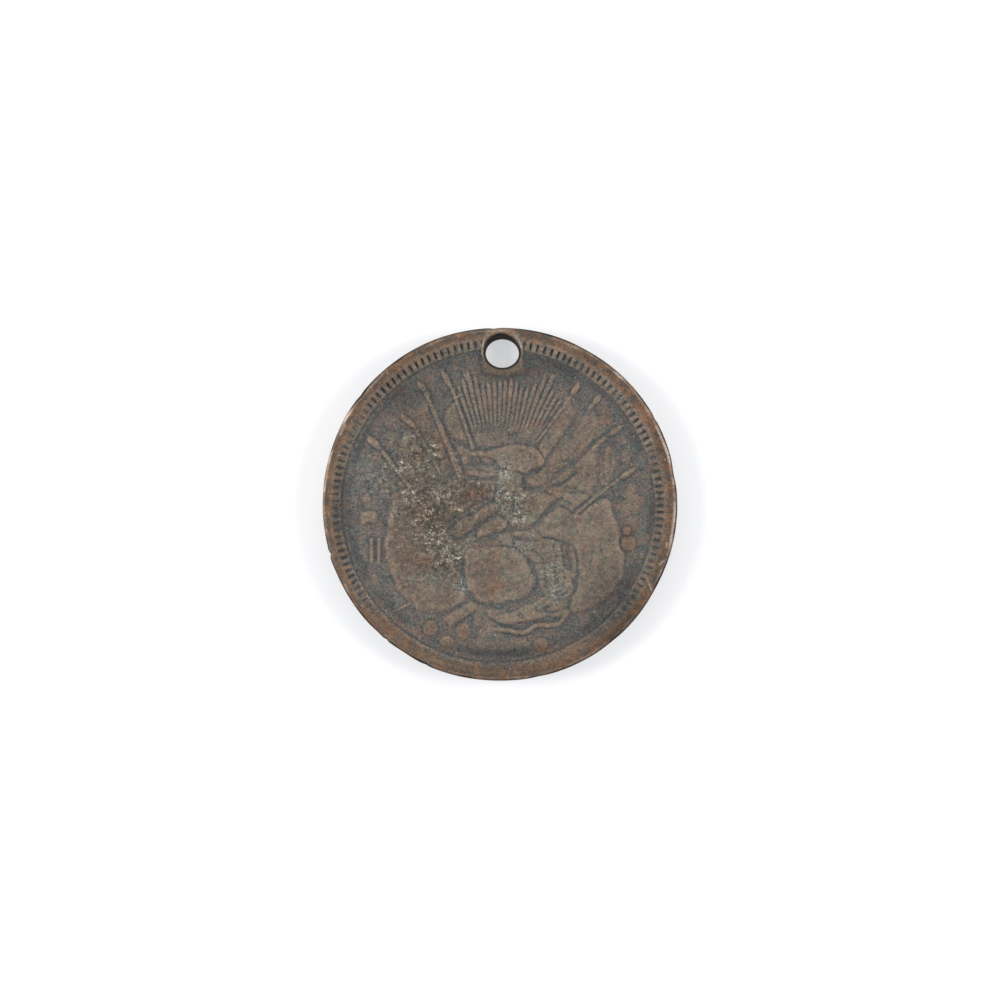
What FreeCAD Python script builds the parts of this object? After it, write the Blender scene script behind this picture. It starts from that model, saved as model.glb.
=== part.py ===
"""Pierced copper token: a struck disc with a raised rim, border teeth and relief on both faces.

The real token is one piece of metal. Each struck feature is kept here as a solid of its own that
stands on the blank and meets its neighbours face to face, so that the parts share no volume.

Frame: the origin is the centre of the back rim's plane, +Z is the front face's normal, and +Y runs
from the centre to the hole. Outlines are in tenths of the disc's radius, (u, v) along +X and +Y.
"""
import FreeCAD
import Part
import math
import os

from FreeCAD import Vector

# Driving dimensions, in millimetres.
RADIUS = 14.25
THICKNESS = 1.9
RIM_HEIGHT = 0.25
EDGE_ROUND = 0.12
UNIT = RADIUS / 10

# Levels of the two fields that the blank lies between.
BACK_FIELD = RIM_HEIGHT
FRONT_FIELD = THICKNESS - RIM_HEIGHT

# The punched hole, in tenths of the radius, and the metal that the punch pushed up around it.
HOLE_CENTRE = (0.15, 8.6)
HOLE_RADIUS = 0.93
COLLAR_RADIUS = 1.5
COLLAR_HEIGHT = 0.2
BURR_RADIUS = 1.2
BURR_HEIGHT = 0.21

# The dies struck a little off the blank's centre, so the rim is wider at the top than at the foot.
FRONT_CENTRE = (-0.12, -0.1)
BACK_CENTRE = (0.1, 0.12)
RIM_INNER = 9.4
TOOTH_INNER = 8.87
TOOTH_COUNT = 147
TOOTH_SHARE = 0.56
TOOTH_HEIGHT = 0.2

# The sun behind the eagle, and its fan of rays. A bundle of longer rays is its lean in degrees, its
# spread, and how much longer they are.
SUN_CENTRE = (0.15, 2.4)
SUN_RADIUS = 1.95
RAY_CENTRE = (-0.12, 0.2)
RAY_COUNT = 19
RAY_ANGLES = (-19.2, 32.4)
RAY_FOOT = 4.3
RAY_REACH = 6.8
RAY_BUNDLES = [(-13.0, 3.6, 0.9), (2.5, 5.0, 0.3), (23.0, 3.6, 1.0)]
RAY_WIDTHS = (0.12, 0.19)

# A ball's upright wall and flat top, as shares of its height and radius.
BUTTON_WALL = 0.5
BUTTON_TOP = 0.55

# The back's wreath: stems on an arc, leaves in pairs beside them, open at the hole.
STEM_RADIUS = 5.9
STEM_WIDTH = 0.2
WREATH_ANGLES = (-74, 52)
LEAF_PAIRS = 11
LEAF_LENGTH = 1.5
LEAF_WIDTH = 0.52
LEAF_SPREAD = 27
BERRY_RADIUS = 0.17


def point(uv, z=0.0):
    return Vector(uv[0] * UNIT, uv[1] * UNIT, z)


def polar(centre, radius, degrees):
    """The (u, v) that lies at a radius and an angle, counted from +u, around a centre."""
    angle = math.radians(degrees)
    return (centre[0] + radius * math.cos(angle), centre[1] + radius * math.sin(angle))


def disc(centre, radius):
    return Part.Face(Part.Wire([Part.Circle(point(centre), Vector(0, 0, 1), radius * UNIT).toShape()]))


def polygon(corners):
    places = [point(c) for c in corners]
    return Part.Face(Part.makePolygon(places + places[:1]))


def blob(outline):
    """A smooth closed outline through a few points."""
    curve = Part.BSplineCurve()
    curve.interpolate([point(p) for p in outline], PeriodicFlag=True)
    return Part.Face(Part.Wire([curve.toShape()]))


def side_step(start, end):
    """The unit vector to the left of the way from start to end."""
    du, dv = end[0] - start[0], end[1] - start[1]
    length = math.hypot(du, dv)
    return (-dv / length, du / length)


def shifted(place, step, distance):
    return (place[0] + step[0] * distance, place[1] + step[1] * distance)


def bar(start, end, start_width, end_width):
    """A straight bar, tapered where its two widths differ."""
    step = side_step(start, end)
    return polygon([
        shifted(start, step, start_width / 2),
        shifted(end, step, end_width / 2),
        shifted(end, step, -end_width / 2),
        shifted(start, step, -start_width / 2),
    ])


def leaf(base, tip, width):
    """A pointed leaf or spearhead between two arcs."""
    step = side_step(base, tip)
    middle = ((base[0] + tip[0]) / 2, (base[1] + tip[1]) / 2)
    sides = [shifted(middle, step, width / 2), shifted(middle, step, -width / 2)]
    arcs = [Part.Arc(point(base), point(side), point(tip)).toShape() for side in sides]
    return Part.Face(Part.Wire(arcs))


def stroke(line, width):
    """A band of one width along a smooth line."""
    sides = []
    for sign in (1, -1):
        side = []
        for i, place in enumerate(line):
            step = side_step(line[max(i - 1, 0)], line[min(i + 1, len(line) - 1)])
            side.append(shifted(place, step, sign * width / 2))
        sides.append(side)
    edges = []
    for side in sides:
        curve = Part.BSplineCurve()
        curve.interpolate([point(p) for p in side])
        edges.append(curve.toShape())
    for near in (0, -1):
        edges.append(Part.LineSegment(point(sides[0][near]), point(sides[1][near])).toShape())
    return Part.Face(Part.Wire(Part.__sortEdges__(edges)))


def arc_band(centre, inner, outer, start, end):
    """A band between two arcs about one centre, from one angle to another."""
    middle = (start + end) / 2
    arcs = []
    for radius in (inner, outer):
        through = [point(polar(centre, radius, a)) for a in (start, middle, end)]
        arcs.append(Part.Arc(*through).toShape())
    ends = [
        Part.LineSegment(point(polar(centre, inner, a)), point(polar(centre, outer, a))).toShape()
        for a in (start, end)
    ]
    return Part.Face(Part.Wire(Part.__sortEdges__(arcs + ends)))


def button(centre, radius, height):
    """A low round button with a bevelled top, as high as stated."""
    wall = height * BUTTON_WALL
    top_radius = radius * BUTTON_TOP
    base = Part.makeCylinder(radius * UNIT, wall, point(centre))
    bevel = Part.makeCone(radius * UNIT, top_radius * UNIT, height - wall, point(centre, wall))
    return base.fuse(bevel)


# The front's devices, the foremost first. A device is cut where one before it stands.
# Each entry is a node, a height in millimetres, and what draws its outlines.
BALLS = [
    ((-3.93, -6.98), 0.44), ((-3.0, -7.8), 0.4), ((-2.05, -7.15), 0.46), ((2.3, -7.93), 0.42),
    ((7.25, -2.2), 0.42), ((7.15, -1.5), 0.26),
]
BALL_HEIGHT = 0.17

EAGLE_HEAD = [
    (1.55, 1.15), (1.6, 1.45), (1.95, 1.7), (2.4, 1.85), (2.7, 1.6), (2.65, 1.25), (2.2, 1.1), (1.8, 1.0),
]
EAGLE_WING = [
    (-2.15, 2.75), (-1.6, 2.98), (-0.9, 3.0), (-0.2, 3.18), (0.4, 3.4), (1.2, 3.42), (1.8, 3.25), (2.3, 2.87),
    (2.5, 2.45), (2.35, 2.1), (1.85, 1.9), (1.4, 1.7), (0.6, 1.9), (0.0, 2.2), (-0.5, 2.5), (-1.3, 2.56),
]
EAGLE_FEATHERS = [
    [(-2.1, 1.75), (-1.2, 1.98), (-0.35, 1.8), (-0.3, 1.6), (-1.2, 1.52)],
    [(-1.95, 1.25), (-1.2, 1.38), (-0.5, 1.25), (-1.2, 1.08)],
]
EAGLE_BODY = [
    (-0.35, 0.3), (-0.2, 1.0), (-0.1, 1.7), (0.2, 2.2), (0.9, 2.0), (1.3, 1.6), (1.2, 1.1), (1.4, 0.65),
    (2.0, 0.7), (2.7, 0.72), (3.1, 0.4), (2.8, -0.1), (2.4, -0.6), (1.9, -1.1), (1.3, -1.35), (0.6, -1.4),
    (0.3, -1.1), (0.1, -0.6), (-0.1, -0.1),
]
EAGLE_LEGS = [
    [(-2.95, -1.7), (-2.6, -1.2), (-2.0, -0.8), (-1.3, -0.3), (-0.6, 0.05), (-0.1, 0.05),
     (-0.15, -0.35), (-0.75, -0.75), (-1.35, -1.15), (-1.9, -1.6), (-2.5, -1.85)],
    [(-1.25, -1.85), (-1.1, -1.35), (-0.6, -0.95), (0.0, -0.7), (0.5, -0.95), (0.3, -1.4), (-0.3, -1.6),
     (-0.8, -1.85)],
]
SHIELD_CENTRE = (-0.5, -3.7)
SHIELD_BOSS_RADIUS = 0.5
SHIELD_RING_RADII = (0.62, 1.15)
SHIELD = [
    (-2.05, -3.2), (-1.9, -2.6), (-1.2, -2.35), (0.0, -2.3), (0.8, -2.55), (1.4, -3.0), (1.75, -3.7),
    (1.95, -4.4), (1.7, -5.0), (1.2, -5.3), (0.3, -5.55), (-0.6, -5.65), (-1.3, -5.4), (-1.8, -4.9),
    (-2.05, -4.0),
]
SASH = [
    (0.6, -1.75), (1.2, -1.9), (2.0, -2.0), (2.7, -2.0), (3.3, -2.15), (3.5, -2.7), (3.6, -3.3), (3.9, -3.8),
    (4.1, -4.3), (3.95, -4.8), (3.5, -5.15), (2.9, -5.1), (2.45, -5.2), (2.2, -4.6), (2.1, -3.9),
    (1.8, -3.2), (1.3, -2.7), (0.8, -2.3),
]
RIBBON = [
    (-0.3, -7.05), (0.4, -7.1), (0.9, -7.22), (1.5, -7.2), (1.9, -6.9), (2.3, -6.82), (2.8, -6.82),
    (3.3, -6.75), (3.6, -6.4), (3.85, -6.1),
]
RIBBON_WIDTH = 0.22
SCROLL = [
    (-0.4, -6.4), (0.3, -6.15), (1.0, -5.95), (1.7, -5.6), (2.3, -5.2), (2.8, -4.95), (2.75, -5.3),
    (2.3, -5.65), (2.2, -5.95), (3.0, -6.05), (3.8, -5.95), (3.5, -6.3), (2.8, -6.38), (2.2, -6.5),
    (1.7, -6.65), (1.1, -6.75), (0.4, -6.72), (-0.1, -6.6),
]
LEFT_SPEARS = [
    ((-6.65, 3.0), (-7.6, 4.0), 0.42),
    ((-4.7, 4.2), (-5.6, 5.1), 0.36),
    ((-4.15, 6.3), (-4.7, 7.0), 0.34),
    ((-2.7, 6.45), (-3.3, 7.6), 0.3),
]
LEFT_SHAFTS = [
    ((-6.65, 3.0), (-5.1, 0.95), 0.2, 0.24),
    ((-4.7, 4.2), (-3.3, 1.6), 0.24, 0.2),
    ((-4.2, 6.35), (-2.1, 1.3), 0.26, 0.42),
    ((-2.7, 6.5), (-1.5, 3.1), 0.16, 0.18),
    ((-2.65, 5.95), (-2.1, 6.2), 0.14, 0.14),
]
RIGHT_SPEARS = [
    ((4.0, 6.1), (4.5, 6.9), 0.32),
    ((5.2, 5.55), (5.8, 6.35), 0.32),
    ((6.0, 3.8), (7.0, 4.5), 0.32),
    ((6.7, 1.4), (7.65, 2.05), 0.36),
]
RIGHT_SHAFTS = [
    ((4.0, 6.1), (2.1, 3.5), 0.16, 0.16),
    ((5.2, 5.6), (4.9, 5.1), 0.2, 0.2),
    ((6.0, 3.8), (5.2, 3.1), 0.24, 0.24),
    ((6.7, 1.4), (4.2, -0.6), 0.2, 0.18),
]
LEFT_FLAGS = [
    [(-4.3, 6.15), (-4.55, 5.5), (-4.7, 4.8), (-4.45, 4.3), (-3.9, 4.2), (-3.5, 4.5), (-3.7, 5.2),
     (-4.0, 5.8)],
    [(-2.55, 5.9), (-2.9, 5.5), (-3.12, 5.0), (-3.1, 4.4), (-2.85, 4.0), (-2.3, 3.6), (-1.75, 3.5),
     (-1.9, 4.1), (-2.15, 4.9), (-2.35, 5.6)],
    [(-5.1, 4.0), (-5.55, 3.4), (-5.55, 2.5), (-5.2, 2.0), (-4.5, 2.0), (-4.1, 2.8), (-4.2, 3.6),
     (-4.6, 4.0)],
    [(-3.9, 4.2), (-3.4, 4.2), (-3.15, 3.6), (-2.8, 2.9), (-2.6, 2.3), (-3.2, 2.2), (-3.7, 2.9), (-3.9, 3.6)],
]
RIGHT_FLAGS = [
    [(3.85, 6.1), (4.1, 5.6), (4.25, 5.0), (4.0, 4.5), (3.65, 4.0), (3.2, 3.4), (2.8, 2.9), (2.5, 2.6),
     (2.25, 3.0), (2.2, 3.5), (2.5, 4.1), (2.95, 4.8), (3.3, 5.4), (3.6, 5.9)],
    [(5.05, 5.35), (5.35, 5.2), (5.45, 4.7), (5.62, 4.25), (5.4, 3.95), (5.12, 3.55), (4.75, 3.12),
     (4.3, 2.72), (3.9, 2.35), (3.4, 2.0), (2.9, 1.75), (2.65, 2.05), (2.9, 2.6), (3.3, 3.1),
     (3.75, 3.65), (4.2, 4.2), (4.6, 4.75)],
    [(5.9, 3.6), (5.68, 3.2), (5.48, 2.6), (5.5, 2.0), (5.5, 1.4), (5.3, 0.98), (4.9, 0.75), (4.2, 0.88),
     (3.5, 0.98), (2.9, 1.12), (2.95, 1.5), (3.5, 1.85), (4.1, 2.2), (4.6, 2.6), (5.1, 3.15), (5.5, 3.55)],
    [(2.6, 0.82), (3.2, 0.78), (4.0, 0.7), (4.8, 0.55), (5.0, 0.25), (4.4, -0.15), (3.8, 0.15), (3.2, 0.4)],
]
ROLLED_FLAG = [
    (6.1, 3.45), (6.35, 3.0), (6.55, 2.4), (6.5, 1.8), (6.25, 1.35), (5.95, 1.35), (5.82, 1.8),
    (5.85, 2.6), (5.95, 3.2),
]
LEFT_DRAPE = [
    (-5.95, 1.0), (-6.1, 0.0), (-6.35, -1.0), (-6.5, -2.1), (-6.45, -3.2), (-6.05, -4.2), (-5.5, -5.0),
    (-5.05, -5.5), (-4.6, -5.9), (-3.8, -6.05), (-3.0, -6.0), (-2.4, -5.75), (-2.0, -5.3), (-1.95, -4.9),
    (-2.5, -4.55), (-3.2, -4.3), (-4.0, -4.0), (-4.8, -3.6), (-5.5, -3.2), (-5.75, -2.2), (-5.75, -1.0),
    (-5.8, 0.2),
]
RIGHT_DRAPE = [
    (5.7, 0.3), (6.1, 0.2), (6.3, -0.3), (6.5, -0.9), (6.72, -1.6), (7.0, -2.5), (7.08, -3.4),
    (6.9, -4.2), (6.4, -4.9), (5.7, -5.5), (4.9, -5.95), (4.2, -6.15), (3.9, -5.8), (4.05, -5.3),
    (4.3, -4.8), (4.35, -4.2), (4.35, -3.6), (4.3, -2.9), (4.15, -2.35), (3.6, -2.05), (2.9, -1.9),
    (2.3, -1.7), (2.0, -1.35), (2.45, -0.9), (2.9, -0.4), (3.4, -0.1), (3.9, -0.4), (4.4, -0.55),
    (5.0, -0.1),
]
LEFT_TROPHY = [
    (-5.95, 0.7), (-5.0, 1.1), (-4.0, 1.25), (-3.0, 1.1), (-2.3, 0.9), (-1.9, 0.3), (-2.1, -0.3),
    (-2.9, -0.9), (-3.15, -1.8), (-2.7, -2.6), (-2.25, -3.4), (-2.2, -4.7), (-3.2, -4.7), (-4.2, -4.4),
    (-5.2, -3.9), (-5.95, -3.3), (-6.2, -1.8), (-6.05, -0.4),
]
DRUMSTICKS = [
    ((-7.25, -1.9), (-7.25, -3.3), 0.17, 0.17), ((-6.83, -1.9), (-6.83, -3.4), 0.17, 0.17),
    ((-6.0, -6.1), (-5.0, -5.55), 0.12, 0.12),
]
GROUND = [
    (-1.5, -5.95), (-0.7, -6.0), (-0.35, -6.6), (0.4, -7.3), (1.4, -7.5), (1.7, -8.0), (0.5, -8.4),
    (-0.8, -8.4), (-1.5, -7.9), (-1.45, -7.0),
]
CLOUDS = [
    [(7.3, 1.4), (7.8, 1.1), (8.0, 0.3), (8.05, -0.6), (7.8, -1.2), (7.4, -1.2), (7.05, -0.6),
     (6.75, 0.3), (6.9, 1.0)],
    [(6.9, 3.7), (7.3, 3.6), (7.5, 3.0), (7.3, 2.3), (6.95, 2.3), (6.75, 3.0)],
    [(-7.5, -3.9), (-7.0, -3.8), (-6.7, -4.4), (-6.95, -4.9), (-7.35, -4.8)],
    [(-3.5, 6.5), (-3.15, 6.2), (-3.15, 5.6), (-3.5, 5.5), (-3.7, 6.0)],
    [(-6.6, 4.9), (-6.0, 4.8), (-5.75, 4.1), (-5.9, 3.4), (-6.3, 3.35), (-6.45, 4.0)],
]
BARREL = ((-1.4, -5.65), (-3.05, -6.7), 0.6, 0.66)
AMMUNITION_BOX = ((-7.82, -0.76), (-6.92, -0.76), 0.58, 0.58)


def sun_rays():
    """The fan of rays from a level foot, in bundles of longer and shorter ones, each widening outwards."""
    first, last = RAY_ANGLES
    rays = []
    for i in range(RAY_COUNT):
        lean = first + (last - first) * i / (RAY_COUNT - 1)
        foot = (RAY_FOOT - RAY_CENTRE[1]) / math.cos(math.radians(lean))
        reach = RAY_REACH
        for at, spread, more in RAY_BUNDLES:
            reach += more * math.exp(-(((lean - at) / spread) ** 2))
        ends = [polar(RAY_CENTRE, away, 90 - lean) for away in (foot, reach)]
        rays.append(bar(*ends, *RAY_WIDTHS))
    return rays


def front_devices():
    ring_inner, ring_outer = SHIELD_RING_RADII
    ring = disc(SHIELD_CENTRE, ring_outer).cut(disc(SHIELD_CENTRE, ring_inner))
    shield = blob(SHIELD).cut(disc(SHIELD_CENTRE, ring_outer))
    return [
        ("eagle_head", 0.19, [blob(EAGLE_HEAD)]),
        ("eagle_wing", 0.2, [blob(EAGLE_WING)]),
        ("eagle_feathers", 0.16, [blob(f) for f in EAGLE_FEATHERS]),
        ("eagle_legs", 0.17, [blob(leg) for leg in EAGLE_LEGS]),
        ("eagle_body", 0.19, [blob(EAGLE_BODY)]),
        ("shield_boss", 0.18, [disc(SHIELD_CENTRE, SHIELD_BOSS_RADIUS)]),
        ("shield_ring", 0.2, [ring]),
        ("round_shield", 0.18, [shield]),
        ("cannon_barrel", 0.15, [bar(*BARREL)]),
        ("sash", 0.15, [blob(SASH)]),
        ("ribbon", 0.1, [stroke(RIBBON, RIBBON_WIDTH)]),
        ("scroll", 0.13, [blob(SCROLL)]),
        ("left_lances", 0.13, [leaf(*s) for s in LEFT_SPEARS] + [bar(*s) for s in LEFT_SHAFTS]),
        ("right_lances", 0.12, [leaf(*s) for s in RIGHT_SPEARS] + [bar(*s) for s in RIGHT_SHAFTS]),
        ("left_drape", 0.17, [blob(LEFT_DRAPE)]),
        ("right_drape", 0.17, [blob(RIGHT_DRAPE)]),
        ("left_trophy", 0.13, [blob(LEFT_TROPHY)]),
        ("rolled_flag", 0.11, [blob(ROLLED_FLAG)]),
        ("left_flags", 0.09, [blob(f) for f in LEFT_FLAGS]),
        ("right_flags", 0.13, [blob(f) for f in RIGHT_FLAGS]),
        ("ammunition_box", 0.1, [bar(*AMMUNITION_BOX)]),
        ("drumsticks", 0.08, [bar(*s) for s in DRUMSTICKS]),
        ("sun_disc", 0.06, [disc(SUN_CENTRE, SUN_RADIUS)]),
        ("sun_rays", 0.08, sun_rays()),
        ("ground", 0.06, [blob(GROUND)]),
        ("clouds", 0.04, [blob(c) for c in CLOUDS]),
    ]


def back_devices():
    """A laurel wreath of two branches tied with a bow, about a plain centre."""
    leaves, stems, berries = [], [], []
    first, last = WREATH_ANGLES
    for side in (1, -1):
        def place(radius, angle, side=side):
            u, v = polar((0, 0), radius, angle)
            return (side * u + BACK_CENTRE[0], v + BACK_CENTRE[1])

        def branch_leaf(angle, spread, length, place=place):
            base = polar((0, 0), STEM_RADIUS, angle)
            tip = polar(base, length, angle + 90 + spread)
            tip_radius, tip_angle = math.hypot(*tip), math.degrees(math.atan2(tip[1], tip[0]))
            return leaf(place(STEM_RADIUS, angle), place(tip_radius, tip_angle), LEAF_WIDTH)

        for i in range(LEAF_PAIRS):
            angle = first + (last - first) * i / LEAF_PAIRS
            leaves += [branch_leaf(angle, spread, LEAF_LENGTH) for spread in (-LEAF_SPREAD, LEAF_SPREAD)]
            berries.append(place(STEM_RADIUS + (1.05 if i % 2 else -1.05), angle + 3))
        leaves.append(branch_leaf(last, 0, LEAF_LENGTH))
        arc = [place(STEM_RADIUS, first - 8 + (last - first + 8) * t / 8) for t in range(9)]
        stems.append(stroke(arc, STEM_WIDTH))
    knot = (BACK_CENTRE[0], BACK_CENTRE[1] - STEM_RADIUS)
    bow = [leaf(knot, (knot[0] + s * 1.3, knot[1] + 0.55), 0.5) for s in (1, -1)]
    tails = [leaf(knot, (knot[0] + s * 0.95, knot[1] - 1.35), 0.34) for s in (1, -1)]
    return [
        ("back_bow", 0.16, [disc(knot, 0.34)] + bow + tails),
        ("wreath_berries", 0.1, [disc(b, BERRY_RADIUS) for b in berries]),
        ("wreath_leaves", 0.14, leaves),
        ("wreath_stems", 0.1, stems),
    ]


def boxes_meet(a, b):
    """True if two outlines' boxes touch, told a little wide."""
    p, q, slack = a.BoundBox, b.BoundBox, 0.01
    return (
        p.XMin - slack < q.XMax and q.XMin - slack < p.XMax
        and p.YMin - slack < q.YMax and q.YMin - slack < p.YMax
    )


def carved(faces, standing):
    """The faces, each without what is taken already, which then takes them in too."""
    left = []
    for face in faces:
        near = [s for s in standing if boxes_meet(face, s)]
        rest = face.cut(near) if near else face
        kept = [f for f in rest.Faces if f.Area > 0.02]
        left += kept
        standing += kept
    return left


def raised(faces, level, height):
    """Prisms that stand on a level; a negative height goes down."""
    solids = []
    for face in faces:
        footprint = face.copy()
        footprint.translate(Vector(0, 0, level))
        solids.append(footprint.extrude(Vector(0, 0, height)))
    return solids


def hole_tool():
    return Part.makeCylinder(HOLE_RADIUS * UNIT, THICKNESS * 3, point(HOLE_CENTRE, -THICKNESS))


def blank():
    body = Part.makeCylinder(RADIUS, FRONT_FIELD - BACK_FIELD, Vector(0, 0, BACK_FIELD))
    return [body.cut(hole_tool())]


def rim(level, top, centre):
    """The raised rim from a field's level to its flat top, rounded at the disc's edge."""
    low, high = min(level, top), max(level, top)
    body = Part.makeCylinder(RADIUS, high - low, Vector(0, 0, low))
    outer_edges = [
        e for e in body.Edges
        if e.Curve.TypeId == "Part::GeomCircle" and abs(e.BoundBox.ZMin - top) < 1e-6
    ]
    body = body.makeFillet(EDGE_ROUND, outer_edges)
    inside = Part.makeCylinder(RIM_INNER * UNIT, THICKNESS * 3, point(centre, -THICKNESS))
    return [body.cut([inside, hole_tool()])]


def border_teeth(centre):
    """Wedges from the rim inwards, left out where the hole's collar flattened them."""
    pitch = 360 / TOOTH_COUNT
    teeth = []
    for i in range(TOOTH_COUNT):
        angle = i * pitch
        u, v = polar(centre, (TOOTH_INNER + RIM_INNER) / 2, angle)
        if math.hypot(u - HOLE_CENTRE[0], v - HOLE_CENTRE[1]) > COLLAR_RADIUS + 0.35:
            half = pitch * TOOTH_SHARE / 2
            teeth.append(arc_band(centre, TOOTH_INNER, RIM_INNER, angle - half, angle + half))
    return teeth


def collar(radius, centre):
    """The ring of pushed-up metal around the hole, as far as the rim."""
    ring = disc(HOLE_CENTRE, radius).cut(disc(HOLE_CENTRE, HOLE_RADIUS))
    return ring.common(disc(centre, RIM_INNER)).Faces


def front():
    nodes = {
        "front_rim": rim(FRONT_FIELD, THICKNESS, FRONT_CENTRE),
        "front_teeth": raised(border_teeth(FRONT_CENTRE), FRONT_FIELD, TOOTH_HEIGHT),
        "front_hole_collar": raised(collar(COLLAR_RADIUS, FRONT_CENTRE), FRONT_FIELD, COLLAR_HEIGHT),
    }
    standing = [disc(HOLE_CENTRE, COLLAR_RADIUS)]
    balls = []
    for centre, radius in BALLS:
        ball = button(centre, radius, BALL_HEIGHT)
        ball.translate(Vector(0, 0, FRONT_FIELD))
        balls.append(ball)
        standing.append(disc(centre, radius))
    nodes["cannonballs"] = balls
    for node, height, faces in front_devices():
        nodes[node] = raised(carved(faces, standing), FRONT_FIELD, height)
    return nodes


def back():
    nodes = {
        "back_rim": rim(BACK_FIELD, 0.0, BACK_CENTRE),
        "back_teeth": raised(border_teeth(BACK_CENTRE), BACK_FIELD, -TOOTH_HEIGHT),
        "back_hole_burr": raised(collar(BURR_RADIUS, BACK_CENTRE), BACK_FIELD, -BURR_HEIGHT),
    }
    standing = [disc(HOLE_CENTRE, BURR_RADIUS)]
    for node, height, faces in back_devices():
        nodes[node] = raised(carved(faces, standing), BACK_FIELD, -height)
    return nodes


def main():
    os.makedirs("parts", exist_ok=True)
    nodes = {"blank": blank(), **front(), **back()}
    for name, solids in nodes.items():
        bodies = [s for solid in solids for s in solid.Solids]
        shape = bodies[0] if len(bodies) == 1 else Part.makeCompound(bodies)
        shape.exportStep(f"parts/{name}.step")
        print(f"{name:20s} solids {len(bodies):4d} volume {shape.Volume:9.3f} valid {shape.isValid()}")


main()
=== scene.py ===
"""A pierced struck copper token lying face up, after more than a century of wear and corrosion.

Its metal is four closed pieces that meet under the relief: on each face a field with every device on it,
and a ring that holds the border's teeth, the rim and half of the edge. Both faces are worked out first as
height maps on a square lattice, in tenths of the disc's radius, (u, v) along +X and +Y, v towards the hole.
"""

import math

import bpy
import numpy as np
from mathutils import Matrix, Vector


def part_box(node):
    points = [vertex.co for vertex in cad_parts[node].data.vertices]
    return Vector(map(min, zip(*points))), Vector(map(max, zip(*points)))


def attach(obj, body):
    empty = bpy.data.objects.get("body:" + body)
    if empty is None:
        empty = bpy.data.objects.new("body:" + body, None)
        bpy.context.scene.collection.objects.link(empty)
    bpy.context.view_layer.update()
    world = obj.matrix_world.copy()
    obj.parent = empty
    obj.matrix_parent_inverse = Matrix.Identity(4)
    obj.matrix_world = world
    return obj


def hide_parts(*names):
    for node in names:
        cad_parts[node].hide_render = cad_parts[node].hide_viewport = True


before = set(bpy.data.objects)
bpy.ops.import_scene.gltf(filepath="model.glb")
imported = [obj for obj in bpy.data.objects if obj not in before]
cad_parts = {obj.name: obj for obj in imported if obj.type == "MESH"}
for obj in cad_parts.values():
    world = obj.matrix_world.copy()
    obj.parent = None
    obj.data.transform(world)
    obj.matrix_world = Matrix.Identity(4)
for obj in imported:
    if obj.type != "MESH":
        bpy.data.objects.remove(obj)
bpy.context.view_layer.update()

# ---------------------------------------------------------------- sizes from the frame
low_corner, high_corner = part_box("blank")
UNIT = (high_corner.x - low_corner.x) / 20
BACK_FIELD = low_corner.z
FRONT_FIELD = high_corner.z
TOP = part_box("front_rim")[1].z
MIDDLE = TOP / 2
RIM_HEIGHT = TOP - FRONT_FIELD
MM = 0.001

# ---------------------------------------------------------------- the lattice
STEP = 0.03
SPAN = 10.35
AXIS = np.arange(-SPAN, SPAN + STEP, STEP)
U, V = np.meshgrid(AXIS, AXIS)

# ---------------------------------------------------------------- the design, in tenths of the radius
HOLE_CENTRE = (0.15, 8.6)
OPENING_CENTRE = (0.13, 8.53)
OPENING = (0.94, 0.83)
HOLLOW_CENTRE = (0.07, 8.7)
HOLLOW = (0.97, 0.9)
FRONT_CENTRE = (-0.12, -0.1)
BACK_CENTRE = (0.1, 0.12)
# The azimuths at which each face's border is the most worn, and the seeds of each face's weathering.
FRONT_WORN = 270
BACK_WORN = 40
FRONT_SEED = 100
BACK_SEED = 200
FIELD_RADIUS = 8.72
TOOTH_INNER = 8.87
TOOTH_OUTER = 9.32
RIM_INNER = 9.4
TOOTH_COUNT = 147
TROUGH_RADIUS = 8.55

RAY_CENTRE = (-0.12, 0.2)
RAY_COUNT = 19
RAY_ANGLES = (-19.2, 32.4)
RAY_FOOT = 4.3
RAY_REACH = 6.8
RAY_BUNDLES = [(-13.0, 3.6, 0.9), (2.5, 5.0, 0.3), (23.0, 3.6, 1.0)]

EAGLE_HEAD = [
    (1.55, 1.15), (1.6, 1.45), (1.95, 1.7), (2.4, 1.85), (2.7, 1.6), (2.65, 1.25), (2.2, 1.1), (1.8, 1.0),
]
EAGLE_WING = [
    (-2.15, 2.75), (-1.6, 2.98), (-0.9, 3.0), (-0.2, 3.18), (0.4, 3.4), (1.2, 3.42), (1.8, 3.25), (2.3, 2.87),
    (2.5, 2.45), (2.35, 2.1), (1.85, 1.9), (1.4, 1.7), (0.6, 1.9), (0.0, 2.2), (-0.5, 2.5), (-1.3, 2.56),
]
EAGLE_FEATHERS = [
    [(-2.1, 1.75), (-1.2, 1.98), (-0.35, 1.8), (-0.3, 1.6), (-1.2, 1.52)],
    [(-1.95, 1.25), (-1.2, 1.38), (-0.5, 1.25), (-1.2, 1.08)],
]
EAGLE_BODY = [
    (-0.35, 0.3), (-0.2, 1.0), (-0.1, 1.7), (0.2, 2.2), (0.9, 2.0), (1.3, 1.6), (1.2, 1.1), (1.4, 0.65),
    (2.0, 0.7), (2.7, 0.72), (3.1, 0.4), (2.8, -0.1), (2.4, -0.6), (1.9, -1.1), (1.3, -1.35), (0.6, -1.4),
    (0.3, -1.1), (0.1, -0.6), (-0.1, -0.1),
]
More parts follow.
